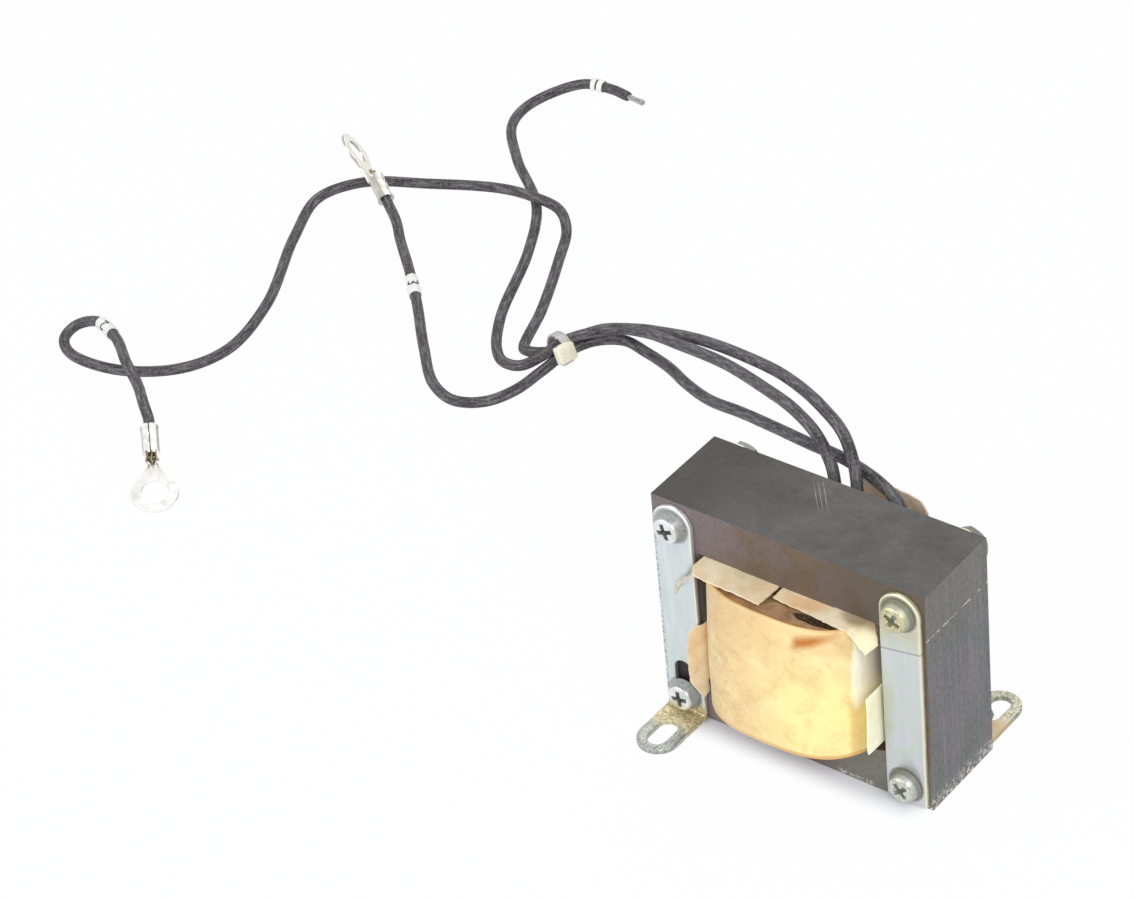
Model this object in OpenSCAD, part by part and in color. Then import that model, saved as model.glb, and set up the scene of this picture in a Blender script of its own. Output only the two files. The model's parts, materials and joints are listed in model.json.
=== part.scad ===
// Open-frame transformer: butt-stacked E and I laminations, a paper-wrapped coil on the centre leg,
// two slotted foot brackets and two plain straps clamped by four screws, and three marked flying leads.
// X runs along the width, Y through the stack with the front at -Y, and Z up from the mounting plane.

/* [Core] */
// Overall width of the laminations
core_w = 66; // [64:0.5:70]
// Width of the centre leg
tongue_w = 22; // [20:0.5:24]
// Width of each outer leg
leg_w = 11; // [10:0.25:12]
// Height of the E yoke under the windows
yoke_h = 11; // [10:0.25:13]
// Height of the winding windows
window_h = 33; // [31:0.5:38]
// Height of the I laminations
i_bar_h = 11; // [10:0.25:13]
// Thickness of the lamination stack
stack_d = 22.4; // [20:0.2:26]
// Thickness of one lamination
lamination_t = 0.64; // [0.5:0.02:1]
// Depth of the seams between laminations
seam_depth = 0.12; // [0.05:0.01:0.3]
// Width of the seams between laminations
seam_w = 0.1; // [0.05:0.01:0.2]
// Thickness of the paper in the gap between the E and the I stack
gap_paper_t = 0.25; // [0.1:0.05:0.5]

/* [Clamping] */
// Distance of the clamp holes from the edges of the core
hole_inset = 5.5; // [5.4:0.1:6]
// Diameter of the clamp holes
clamp_hole_d = 4.5; // [4.3:0.1:5]
// Diameter of the clamp screws
screw_d = 4; // [3:0.1:4.2]
// Diameter of the screw heads
head_d = 7.6; // [7:0.1:7.7]
// Height of the screw heads
head_h = 2.6; // [2:0.1:3.2]
// Width of the cross recess
recess_w = 1; // [0.6:0.1:1.4]
// Length of the cross recess
recess_l = 4.6; // [3:0.1:5.5]
// Depth of the cross recess
recess_depth = 1.5; // [0.8:0.1:1.8]
// Width of the nuts across flats
nut_af = 7; // [6:0.1:8]
// Height of the nuts
nut_h = 2.4; // [2:0.1:3.2]
// Length of the screw past its nut
screw_end = 0.6; // [0.2:0.1:2]

/* [Brackets and straps] */
// Width of the brackets and straps
strap_w = 9.5; // [8.5:0.1:10]
// Thickness of their sheet
strap_t = 1.2; // [0.8:0.1:1.2]
// Inside radius of the foot bend
bend_r = 0.4; // [0.2:0.1:0.4]
// Reach of a foot from the face of the core
foot_reach = 16; // [15:0.5:22]
// Width of the foot slot
foot_slot_w = 4.4; // [3.5:0.1:5]
// Length of the foot slot
foot_slot_l = 8; // [6:0.25:9]
// Distance of the foot slot's centre from the face of the core
foot_slot_y = 10; // [9:0.25:11]
// Rise of the lower adjusting slot in a bracket
adjust_slot_rise = 6.3; // [3:0.1:12]

/* [Coil] */
// Room between the centre leg and the coil tube
tube_clear = 0.3; // [0.1:0.05:0.6]
// Wall of the coil tube
tube_wall = 1; // [0.6:0.1:1.5]
// Room between the coil and the outer legs
coil_side_clear = 1.4; // [1.1:0.1:2.5]
// Thickness of the paper wrap at its edges
wrap_t = 0.8; // [0.5:0.1:1.5]
// Thickness of the paper between the windings
insulation_t = 0.5; // [0.3:0.1:1]
// Share of the winding space that the inner winding takes
inner_share = 0.5; // [0.35:0.05:0.65]
// How far the fullest part of the coil stands out of the core
coil_bulge = 11.3; // [9:0.1:13]
// How much less it stands out at its top edge
bulge_loss_top = 2.3; // [0.5:0.1:2.8]
// How much less it stands out at its bottom edge
bulge_loss_bottom = 0.4; // [0.1:0.1:2]
// Drop of the winding ends below the edges of the wrap
winding_inset = 0.9; // [0.4:0.1:2]

/* [Papers] */
// Thickness of the collars, liners and lead shield
paper_t = 0.4; // [0.2:0.05:0.6]
// Clearance kept round loose papers
paper_clear = 0.1; // [0.05:0.05:0.2]
// Reach of the left top collar in front of the core at its outer end
flap_reach_outer = 6.1; // [3:0.1:7]
// Reach of the left top collar in front of the core at the split
flap_reach_inner = 7.3; // [4:0.1:8]
// How much the left top collar is cut back at its front left end
collar_trim = 1.1; // [0:0.1:2]
// Reach of the right top collar in front of the core at the split
flap_reach_right = 3.6; // [2:0.1:5]
// Reach of the collar arms behind the core
flap_reach_back = 4.5; // [2:0.1:5]
// Reach of the bottom collars in front of the core
flap_reach_low = 0.5; // [0.2:0.1:2]
// Gap between the two halves of a collar
collar_split = 0.9; // [0.5:0.1:4]
// Offset of the top collar's split from the middle
split_x = -1.6; // [-4:0.1:4]
// Length of the folded-down end of the right top collar
tab_drop = 5.8; // [3:0.1:6]
// Height of the window liners
liner_h = 14.5; // [8:0.5:24]
// Lift of the right liner above the left one
liner_lift = 2.3; // [0:0.1:6]
// Reach of the right liner in front of the core
liner_reach = 5.6; // [2:0.1:7]
// Length of the left liner's flap, bent out over its strap
liner_flap = 4.4; // [3:0.1:5]
// How far that flap hangs below its liner
liner_flap_drop = 5; // [2:0.1:6]
// Width of the lead shield behind the coil
shield_w = 20; // [12:0.5:28]
// Height of the lead shield above the winding windows
shield_rise = 4.4; // [2:0.1:8]

/* [Leads] */
// Diameter over the insulation of the leads
lead_d = 2.6; // [2:0.1:2.6]
// Diameter of the bare conductor
conductor_d = 1.5; // [0.8:0.1:1.8]
// Length of the bare end
bare_l = 5; // [2:0.5:10]
// Outer diameter of the marker sleeves
marker_d = 3.3; // [3:0.1:4]
// Lengths of the marker sleeves of the three leads
marker_l = [8, 7.5, 4.5];
// Outer diameter of the ring of a terminal
ring_d = 11; // [9:0.5:13]
// Hole in the ring of a terminal
ring_hole_d = 6.4; // [4:0.1:7]
// Thickness of the terminal sheet
tongue_t = 0.8; // [0.5:0.1:1.2]
// Outer diameter of the crimp barrel
barrel_d = 4.2; // [3.4:0.1:5]
// Length of the crimp barrel
barrel_l = 7.5; // [5:0.5:10]
// Length of the neck between barrel and ring
neck_l = 4; // [2:0.5:7]
// Width of the cable tie
tie_w = 2.4; // [2:0.1:2.6]
// Thickness of the cable tie
tie_t = 0.9; // [0.6:0.1:0.9]

/* [Hidden] */
$fn = 64;
eps = 0.01;

window_w = (core_w - tongue_w - 2 * leg_w) / 2;
window_z0 = yoke_h;
window_z1 = yoke_h + window_h;
i_bar_z0 = window_z1 + gap_paper_t;
core_h = i_bar_z0 + i_bar_h;
front_y = -stack_d / 2;
back_y = stack_d / 2;
window_x0 = tongue_w / 2;
window_x1 = window_x0 + window_w;
lamination_n = round(stack_d / lamination_t);

hole_x = core_w / 2 - hole_inset;
hole_z0 = hole_inset;
hole_z1 = core_h - hole_inset;
grip_l = stack_d + 2 * strap_t + nut_h;
fit_clear = 0.1;
recess_turns = [20, 62, 8, 40];

tube_x = window_x0 + tube_clear + tube_wall;
tube_y = stack_d / 2 + tube_clear + tube_wall;
wrap_x = window_x1 - coil_side_clear;
wrap_y = stack_d / 2 + coil_bulge + bulge_loss_bottom * bulge_loss_top / (bulge_loss_bottom + bulge_loss_top);
wrap_z0 = window_z0 + paper_t + paper_clear;
wrap_z1 = window_z1 - paper_t - 2 * paper_clear;
core_fill_y = wrap_y - max(bulge_loss_top, bulge_loss_bottom) - wrap_t;
core_fill_x = wrap_x - wrap_t;
build_x = core_fill_x - tube_x - insulation_t - 3 * fit_clear;
build_y = core_fill_y - tube_y - insulation_t - 3 * fit_clear;
inner_x = tube_x + fit_clear + inner_share * build_x;
inner_y = tube_y + fit_clear + inner_share * build_y;
winding_z0 = wrap_z0 + winding_inset;
winding_z1 = wrap_z1 - winding_inset;
coil_sides = 72;
wrap_rings = 8;
inner_power = 5;
outer_power = 3;

collar_z = window_z1 - paper_clear - paper_t;
collar_x = window_x1 - 2 * paper_clear;
arm_x = wrap_x - paper_clear;
liner_x = window_x1 - paper_clear - paper_t;
liner_z = wrap_z0 + paper_clear;
tab_w = 6.7;
tab_lean = 62;
tab_clear = 0.35;

insulation_gap = 0.15;
barrel_wall = (barrel_d - conductor_d) / 2 - fit_clear;
tie_slack = 0.5;
tie_head = [5, 2.6, 4.2];
tie_shift = 1.3;
tie_turn = 12;

// Centre lines of the leads, from the coil end, over the edge of the core, through the tie, to their ends
lead_1_route = [[9, 17.5, 42.5], [9, 17.5, 46.5], [7, 18.2, 49.5], [1.5, 20, 51], [-10, 24.5, 49.5],
    [-22, 29.5, 45.5], [-37, 38, 38.5], [-54, 48.5, 29.5], [-71, 59, 20], [-85, 69, 13], [-96, 77, 8.5],
    [-107, 83, 5], [-116, 85.5, 3.8], [-122, 82, 3.5], [-124.9, 74.5, 3.5], [-126.3, 68.1, 2.4],
    [-128.1, 59.1, 1.4], [-131.6, 52, 1.4], [-137.9, 48.8, 1.4], [-145.9, 51.3, 1.4], [-157.5, 62, 1.4],
    [-169.2, 74.3, 1.6], [-180.4, 85.1, 2.2], [-189.2, 92.9, 2.8], [-195, 98.4, 3.8], [-200.3, 101.6, 6.2]];
lead_2_route = [[-2.5, 18, 42.5], [-2.5, 18, 48], [-4, 19.5, 53], [-9, 23.5, 56.5], [-19, 30, 56],
    [-36, 41.5, 50], [-57, 55, 39.5], [-80, 69, 27], [-100, 80.5, 14.9], [-114, 87, 6.9],
    [-123, 86.5, 3.8], [-126.6, 80.5, 3.5], [-128, 74.3, 3.4], [-130.8, 72, 3.3], [-134.1, 72, 2.6],
    [-136.8, 74, 1.5], [-142, 87.7, 1.6], [-151.3, 106.9, 1.4], [-157.2, 118.1, 2.3],
    [-162.6, 122.4, 3.7], [-171.4, 123.2, 4.2], [-183.2, 123.7, 2.6], [-200.8, 117.8, 1.5],
    [-215.1, 110.2, 1.6], [-220.7, 99.7, 1.5], [-214.8, 82.6, 1.5], [-201.6, 55.9, 1.5],
    [-197.9, 37.2, 1.4], [-202.6, 25.8, 1.4], [-215.4, 17.6, 1.4], [-228.5, 15.7, 2.5], [-234, 19.5, 2.9],
    [-234.1, 24, 3.8], [-230.4, 26.7, 4.7], [-220.2, 22.9, 6.2], [-207.5, 13.5, 8.8], [-196.6, 5.9, 10.8],
    [-190.7, 1.1, 11.2], [-186.95, -1.62, 9.74], [-185.4, -3.3, 9]];
lead_3_route = [[-8, 18, 42.5], [-8, 18, 48], [-9.5, 19, 52], [-14.5, 22, 55], [-24, 28, 54],
    [-41.5, 40, 46.5], [-63, 55, 35.5], [-86, 69, 23.5], [-105, 80, 13.4], [-116.3, 83.1, 8.3],
    [-122.9, 80.3, 6.3], [-126.2, 75, 5.9], [-127.6, 70, 4.9], [-131.2, 66.1, 3.1], [-136.5, 66.1, 2.1],
    [-142, 70.3, 1.4], [-149.2, 81.2, 1.5], [-160.1, 106.3, 1.5], [-170.9, 123.8, 1.4], [-188, 138.2, 1.4],
    [-199.1, 150.9, 1.4], [-200.6, 161.8, 1.4], [-194.2, 174.4, 1.8], [-186.4, 176, 1.8],
    [-180.5, 175.5, 1.6]];
lead_sides = 8;
tie_at = [-126.2, 75, 4.3];
tie_heading = [-0.25, -0.97, 0];
marker_spans = [21, 33, 22];

// Helpers: points, directions and swept tubes
function unit(v) = v / norm(v);
function lerp(a, b, u) = a + (b - a) * u;
function last(list) = list[len(list) - 1];
function tangent(route, i) = unit(route[min(i + 1, len(route) - 1)] - route[max(i - 1, 0)]);
function square_to(v, t) = unit(v - (v * t) * t);
function normals(route, i = 0, n = [1, 0, 0]) =
    i == len(route) ? [] :
    let (here = square_to(n, tangent(route, i))) concat([here], normals(route, i + 1, here));
function yaw(v) = atan2(v[1], v[0]);
function pitch(v) = -asin(v[2] / norm(v));

// Point of a rounded oval at angle t, squarer as power grows
function oval_point(t, x, y, power) =
    [x * sign(cos(t)) * pow(abs(cos(t)), 2 / power), y * sign(sin(t)) * pow(abs(sin(t)), 2 / power)];
function oval(x, y, power) = [for (i = [0:coil_sides - 1]) oval_point(360 * i / coil_sides, x, y, power)];

module along_y(y0, depth) {
    translate([0, y0 + depth, 0]) rotate([90, 0, 0]) linear_extrude(depth) children();
}

module at_clamp_holes() {
    for (i = [0:3])
        translate([(i % 2 == 0 ? -1 : 1) * hole_x, 0, i < 2 ? hole_z1 : hole_z0]) rotate([90, 0, 0]) {
            $turn = recess_turns[i];
            children();
        }
}

module clamp_hole_outlines() {
    for (x = [-hole_x, hole_x], z = [hole_z0, hole_z1])
        translate([x, z]) circle(d = clamp_hole_d);
}

module aim(direction) {
    rotate([0, pitch(direction), yaw(direction)]) children();
}

// Core
module seams() {
    pitch_y = stack_d / lamination_n;
    for (i = [1:lamination_n - 1])
        along_y(front_y + i * pitch_y - seam_w / 2, seam_w) difference() {
            translate([-core_w / 2 - 1, -1]) square([core_w + 2, core_h + 2]);
            translate([-core_w / 2 + seam_depth, seam_depth])
                square([core_w - 2 * seam_depth, core_h - 2 * seam_depth]);
        }
}

module core_e_stack() {
    color("#5f5a57") difference() {
        along_y(front_y, stack_d) difference() {
            translate([-core_w / 2, 0]) square([core_w, window_z1]);
            for (x = [-window_x1, window_x0])
                translate([x, window_z0]) square([window_w, window_h + 1]);
            clamp_hole_outlines();
        }
        seams();
    }
}

module core_i_stack() {
    color("#626060") difference() {
        along_y(front_y, stack_d) difference() {
            translate([-core_w / 2, i_bar_z0]) square([core_w, i_bar_h]);
            clamp_hole_outlines();
        }
        seams();
    }
}

module gap_paper() {
    color("#d9cfa0") translate([-core_w / 2, front_y, window_z1]) cube([core_w, stack_d, gap_paper_t]);
}

// Coil
module coil_tube() {
    color("#b58f5a") translate([0, 0, wrap_z0]) linear_extrude(wrap_z1 - wrap_z0) difference() {
        square([2 * tube_x, 2 * tube_y], center = true);
        square([2 * (tube_x - tube_wall), 2 * (tube_y - tube_wall)], center = true);
    }
}

module winding_layer() {
    translate([0, 0, winding_z0]) linear_extrude(winding_z1 - winding_z0) children();
}

module inner_winding() {
    color("#8a4f2a") winding_layer() difference() {
        polygon(oval(inner_x, inner_y, inner_power));
        square(2 * [tube_x + fit_clear, tube_y + fit_clear], center = true);
    }
}

module winding_insulation() {
    inside = inner_power;
    color("#c9a26a") winding_layer() difference() {
        polygon(oval(inner_x + fit_clear + insulation_t, inner_y + fit_clear + insulation_t, inside));
        polygon(oval(inner_x + fit_clear, inner_y + fit_clear, inside));
    }
}

module outer_winding() {
    start = insulation_t + 2 * fit_clear;
    color("#80502c") winding_layer() difference() {
        polygon(oval(core_fill_x - fit_clear, core_fill_y - fit_clear, outer_power));
        polygon(oval(inner_x + start, inner_y + start, inner_power));
    }
}

// Wrapped paper: a straight inside and an outside that swells between its two edges
module coil_wrap() {
    n = coil_sides;
    top = wrap_rings - 1;
    function swell(u) = wrap_y - bulge_loss_bottom * pow(1 - u, 2) - bulge_loss_top * pow(u, 2);
    function ring_at(points, z) = [for (p = points) [p[0], p[1], z]];
    points = concat(
        [for (i = [0:top])
            each ring_at(oval(wrap_x, swell(i / top), outer_power), lerp(wrap_z0, wrap_z1, i / top))],
        ring_at(oval(core_fill_x, core_fill_y, outer_power), wrap_z0),
        ring_at(oval(core_fill_x, core_fill_y, outer_power), wrap_z1));
    function at(ring, j) = ring * n + j % n;
    function wall(low, high, j) =
        [[at(low, j), at(high, j), at(high, j + 1)], [at(low, j), at(high, j + 1), at(low, j + 1)]];
    sides = [for (i = [0:top - 1], j = [0:n - 1]) each wall(i, i + 1, j)];
    bore = [for (j = [0:n - 1]) each wall(wrap_rings + 1, wrap_rings, j)];
    rims = [for (j = [0:n - 1]) each concat(wall(top, wrap_rings + 1, j), wall(wrap_rings, 0, j))];
    color("#e6c388") polyhedron(points, concat(sides, bore, rims), convexity = 6);
}

// Papers
function collar_arms(inner_x, front_inner, front_outer, back, trim = 0) =
    let (face = stack_d / 2 + paper_clear, slot_x = window_x0 + tube_clear)
        [[inner_x, -face - front_inner], [inner_x, -face], [slot_x, -face], [slot_x, face],
            [inner_x, face], [inner_x, face + back], [arm_x, face + back], [collar_x, face],
            [collar_x - trim, -face], [arm_x - trim, -face - front_outer]];

module top_collar_left() {
    color("#efdcb4") translate([0, 0, collar_z]) linear_extrude(paper_t) mirror([1, 0])
        polygon(collar_arms(collar_split / 2 - split_x, flap_reach_inner, flap_reach_outer, flap_reach_back,
            collar_trim));
}

// Its front arm ends in a tab that folds down over the edge of the coil
module top_collar_right() {
    face = stack_d / 2 + paper_clear;
    split = split_x + collar_split / 2;
    fold_from = oval_point(-44, wrap_x, wrap_y - bulge_loss_top, outer_power);
    fold_to = oval_point(-24, wrap_x, wrap_y - bulge_loss_top, outer_power);
    along = unit(fold_to - fold_from);
    out = [along[1], -along[0]];
    hinge = fold_from + tab_clear * out;
    lap = tab_clear + paper_t / 2;
    arms = collar_arms(split, flap_reach_right, 0, flap_reach_back);
    color("#f2e2bd") union() {
        translate([0, 0, collar_z]) linear_extrude(paper_t)
            polygon(concat([for (i = [0:8]) arms[i]], [fold_to + lap * out, fold_from + lap * out]));
        translate([hinge[0], hinge[1], collar_z]) rotate(yaw(along)) rotate([tab_lean, 0, 0])
            linear_extrude(paper_t) polygon([[0.03 * tab_w, paper_clear], [0.46 * tab_w, -tab_drop],
                [0.94 * tab_w, -0.8 * tab_drop], [tab_w, paper_clear]]);
    }
}

module bottom_collar() {
    translate([0, 0, window_z0]) linear_extrude(paper_t)
        polygon(collar_arms(collar_split / 2, flap_reach_low, flap_reach_low, flap_reach_back));
}

module bottom_collar_left() {
    color("#e9d5a8") mirror([1, 0, 0]) bottom_collar();
}

module bottom_collar_right() {
    color("#e9d5a8") bottom_collar();
}

module liner_sheet(front_reach) {
    translate([liner_x, front_y - front_reach, liner_z])
        cube([paper_t, stack_d + front_reach + paper_clear, liner_h]);
}

// The flap in front of the core leans out past the edge of the strap and hangs below the liner
module window_liner_left() {
    lean = 33;
    f = liner_flap;
    h = liner_h;
    d = liner_flap_drop;
    color("#dcb987") mirror([1, 0, 0]) union() {
        liner_sheet(paper_clear);
        translate([liner_x, front_y - paper_clear, liner_z]) rotate(lean) translate([paper_t, 0, 0])
            rotate([90, 0, -90]) linear_extrude(paper_t)
                polygon([[0, 0.03 * h], [0.1 * f, -0.1 * d], [0.1 * f, -0.6 * d], [0.32 * f, -d],
                    [0.75 * f, -0.42 * d], [0.96 * f, 0], [f, 0.25 * h], [f, 0.62 * h],
                    [0.9 * f, 0.88 * h], [0.48 * f, 0.98 * h], [0, h]]);
    }
}

module window_liner_right() {
    color("#f6e9c6") translate([0, 0, liner_lift]) liner_sheet(liner_reach);
}

module lead_shield() {
    seat_x = wrap_x + insulation_gap;
    seat_y = stack_d / 2 + coil_bulge + insulation_gap;
    low = (wrap_z0 + wrap_z1) / 2;
    high = window_z1 + shield_rise;
    corner = 4;
    middle_x = 3.2;
    color("#dcb27a") intersection() {
        translate([0, 0, low]) linear_extrude(high - low) difference() {
            polygon(oval(seat_x + paper_t, seat_y + paper_t, outer_power));
            polygon(oval(seat_x, seat_y, outer_power));
        }
        along_y(0, wrap_y + 2) translate([middle_x, 0]) union() {
            translate([-shield_w / 2, low]) square([shield_w, high - corner - low]);
            translate([-shield_w / 2, low]) square([shield_w - corner, high - low]);
            translate([shield_w / 2 - corner, high - corner]) circle(corner);
        }
    }
}

// Clamping plates
module strap_outline(low) {
    translate([-strap_w / 2, low]) square([strap_w, hole_z1 - low]);
    translate([0, hole_z1]) circle(d = strap_w);
}

module strap() {
    along_y(front_y - strap_t, strap_t) translate([hole_x, 0]) difference() {
        union() {
            strap_outline(hole_z0);
            translate([0, hole_z0]) circle(d = strap_w);
        }
        for (z = [hole_z0, hole_z1])
            translate([0, z]) circle(d = clamp_hole_d);
    }
}

module slot(length, width) {
    for (end = [-1, 1])
        translate([end * (length - width) / 2, 0]) circle(d = width);
    square([length - width, width], center = true);
}

// Strap whose lower end is bent forward into a slotted foot
module foot_bracket() {
    bend = bend_r + strap_t;
    tip_y = front_y - foot_reach + strap_w / 2;
    lap = bend_r + strap_t / 2;
    translate([-hole_x, 0, 0]) difference() {
        union() {
            along_y(front_y - strap_t, strap_t) strap_outline(0);
            linear_extrude(strap_t) {
                translate([-strap_w / 2, tip_y]) square([strap_w, front_y - tip_y]);
                translate([0, tip_y]) circle(d = strap_w);
            }
            at_bend(bend, strap_w) difference() {
                translate([0, -lap]) square(lap);
                circle(bend_r);
            }
        }
        at_bend(bend, 2 * strap_w) difference() {
            translate([0, -2 * bend]) square(2 * bend);
            circle(bend);
        }
        along_y(front_y - 2 * strap_t, 3 * strap_t) {
            translate([0, hole_z1]) circle(d = clamp_hole_d);
            translate([0, hole_z0 + adjust_slot_rise / 2]) rotate(90)
                slot(adjust_slot_rise + clamp_hole_d, clamp_hole_d);
        }
        translate([0, front_y - foot_slot_y, -strap_t]) rotate(90) linear_extrude(3 * strap_t)
            slot(foot_slot_l, foot_slot_w);
    }
}

// Cross-section drawn about the centre of the foot bend, across the given width
module at_bend(bend, width) {
    translate([-width / 2, front_y - bend, bend]) rotate([90, 0, 90]) linear_extrude(width) children();
}

module front_left_bracket() {
    color("#c8d0d2") foot_bracket();
}

module rear_right_bracket() {
    color("#c8d0d2") rotate(180) foot_bracket();
}

module front_right_strap() {
    color("#cdd5d6") strap();
}

module rear_left_strap() {
    color("#cdd5d6") rotate(180) strap();
}

// Fasteners
module clamp_screws() {
    head_z = stack_d / 2 + strap_t;
    dome_r = head_d * 0.75;
    color("#d4d8d8") at_clamp_holes() difference() {
        union() {
            translate([0, 0, head_z - grip_l - screw_end])
                cylinder(d = screw_d, h = grip_l + screw_end + eps);
            intersection() {
                translate([0, 0, head_z]) cylinder(d = head_d, h = head_h);
                translate([0, 0, head_z + head_h - dome_r]) sphere(dome_r);
            }
        }
        for (a = [0, 90])
            rotate($turn + a) translate([-recess_l / 2, -recess_w / 2, head_z + head_h - recess_depth])
                cube([recess_l, recess_w, recess_depth + 1]);
    }
}

module clamp_nuts() {
    corners_d = nut_af / cos(30);
    color("#bcc0bf") at_clamp_holes() translate([0, 0, -stack_d / 2 - strap_t - nut_h]) difference() {
        rotate($turn) cylinder(d = corners_d, h = nut_h, $fn = 6);
        translate([0, 0, -1]) cylinder(d = screw_d + 2 * fit_clear, h = nut_h + 2);
    }
}

// Leads and what is on them
module lead(route) {
    n = lead_sides;
    side = normals(route);
    points = [for (i = [0:len(route) - 1], k = [0:n - 1])
        let (t = tangent(route, i), u = side[i], v = cross(t, u))
            route[i] + lead_d / 2 * (cos(360 * k / n) * u + sin(360 * k / n) * v)];
    walls = [for (i = [0:len(route) - 2], k = [0:n - 1])
        let (a = i * n + k, b = i * n + (k + 1) % n)
            each [[a, a + n, b + n], [a, b + n, b]]];
    start = [for (k = [0:n - 1]) k];
    end = [for (k = [n - 1:-1:0]) (len(route) - 1) * n + k];
    color("#37363a") polyhedron(points, concat(walls, [start, end]), convexity = 10);
}

module lead_1() { lead(lead_1_route); }
module lead_2() { lead(lead_2_route); }
module lead_3() { lead(lead_3_route); }

module at_lead_end(route) {
    translate(last(route)) aim(last(route) - route[len(route) - 2]) children();
}

module bare_conductors() {
    color("#9a7d55") {
        for (route = [lead_1_route, lead_2_route])
            at_lead_end(route) rotate([0, 90, 0]) cylinder(d = conductor_d, h = barrel_l + neck_l / 2);
        at_lead_end(lead_3_route) rotate([0, 90, 0]) cylinder(d = conductor_d, h = bare_l);
    }
}

// Crimped barrel, with its seam on top, and a flat tongue with a ring
module ring_terminal() {
    ring_x = barrel_l + neck_l + ring_d / 2;
    tongue_z = -barrel_d / 2;
    seam = 0.3;
    difference() {
        rotate([0, 90, 0]) cylinder(d = barrel_d, h = barrel_l);
        translate([-1, 0, 0]) rotate([0, 90, 0])
            cylinder(d = barrel_d - 2 * barrel_wall, h = barrel_l + 2);
        translate([-1, -seam / 2, 0]) cube([barrel_l + 2, seam, barrel_d]);
    }
    translate([0, 0, tongue_z]) linear_extrude(tongue_t) difference() {
        union() {
            translate([ring_x, 0]) circle(d = ring_d);
            polygon([[barrel_l - 1.5, -barrel_d * 0.3], [barrel_l + neck_l * 0.6, -barrel_d * 0.36],
                [ring_x - ring_d * 0.2, -ring_d * 0.4], [ring_x - ring_d * 0.2, ring_d * 0.4],
                [barrel_l + neck_l * 0.6, barrel_d * 0.36], [barrel_l - 1.5, barrel_d * 0.3]]);
        }
        translate([ring_x, 0]) circle(d = ring_hole_d);
    }
}

module ring_terminal_1() {
    color("#d9d6c8") at_lead_end(lead_1_route) rotate([55, 0, 0]) ring_terminal();
}

module ring_terminal_2() {
    color("#d9d6c8") at_lead_end(lead_2_route) ring_terminal();
}

module marker_sleeve(route, span, length) {
    from = route[span];
    along = route[span + 1] - from;
    color("#f4f1e4") translate(from + along / 2) aim(along) rotate([0, 90, 0]) difference() {
        cylinder(d = marker_d, h = length, center = true);
        cylinder(d = lead_d + insulation_gap, h = length + 1, center = true);
    }
}

module marker_sleeve_1() { marker_sleeve(lead_1_route, marker_spans[0], marker_l[0]); }
module marker_sleeve_2() { marker_sleeve(lead_2_route, marker_spans[1], marker_l[1]); }
module marker_sleeve_3() { marker_sleeve(lead_3_route, marker_spans[2], marker_l[2]); }

// Band drawn tight round the three leads, with its head on the near side
module cable_tie() {
    bundle_r = lead_d / 2 * (1 + 2 / sqrt(3)) + tie_slack;
    color("#efe9d2") translate(tie_at) aim(tie_heading) difference() {
        union() {
            rotate([0, 90, 0]) cylinder(r = bundle_r + tie_t, h = tie_w, center = true);
            rotate([tie_turn, 0, 0]) translate([tie_shift, bundle_r + tie_head[1] / 2, 0])
                cube(tie_head, center = true);
        }
        rotate([0, 90, 0]) cylinder(r = bundle_r, h = tie_head[0] + 2 * tie_shift + 2, center = true);
    }
}

core_e_stack();
core_i_stack();
gap_paper();
coil_tube();
inner_winding();
winding_insulation();
outer_winding();
coil_wrap();
top_collar_left();
top_collar_right();
bottom_collar_left();
bottom_collar_right();
window_liner_left();
window_liner_right();
lead_shield();
front_left_bracket();
front_right_strap();
rear_left_strap();
rear_right_bracket();
clamp_screws();
clamp_nuts();
lead_1();
lead_2();
lead_3();
bare_conductors();
ring_terminal_1();
ring_terminal_2();
marker_sleeve_1();
marker_sleeve_2();
marker_sleeve_3();
cable_tie();
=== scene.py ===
import bpy
import bmesh
import json
import math
from mathutils import Matrix, Vector, noise

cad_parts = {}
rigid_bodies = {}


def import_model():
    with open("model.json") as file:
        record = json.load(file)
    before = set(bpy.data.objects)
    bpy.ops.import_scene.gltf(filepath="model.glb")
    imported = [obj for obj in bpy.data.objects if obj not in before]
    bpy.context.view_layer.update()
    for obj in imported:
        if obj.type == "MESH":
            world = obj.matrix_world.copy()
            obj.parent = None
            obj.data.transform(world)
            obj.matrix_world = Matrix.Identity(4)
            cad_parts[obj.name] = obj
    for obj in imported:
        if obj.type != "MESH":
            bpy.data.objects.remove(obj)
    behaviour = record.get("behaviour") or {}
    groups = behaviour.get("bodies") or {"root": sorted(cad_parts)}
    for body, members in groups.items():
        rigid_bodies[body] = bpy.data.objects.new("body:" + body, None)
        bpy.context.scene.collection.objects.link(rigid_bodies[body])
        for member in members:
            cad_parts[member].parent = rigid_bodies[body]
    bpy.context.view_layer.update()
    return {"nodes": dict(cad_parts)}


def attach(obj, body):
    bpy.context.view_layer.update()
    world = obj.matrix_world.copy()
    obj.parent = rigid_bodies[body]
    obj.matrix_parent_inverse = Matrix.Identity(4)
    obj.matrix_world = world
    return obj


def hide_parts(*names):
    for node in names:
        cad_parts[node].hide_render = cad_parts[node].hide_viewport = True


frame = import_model()
cadNodes = frame["nodes"]
scene = bpy.context.scene
mm = 0.001  # shapes are drawn in mm, and scaled when a piece is made
print("frame loaded:", len(cadNodes), "nodes")


# core sizes, which the other pieces follow

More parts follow.
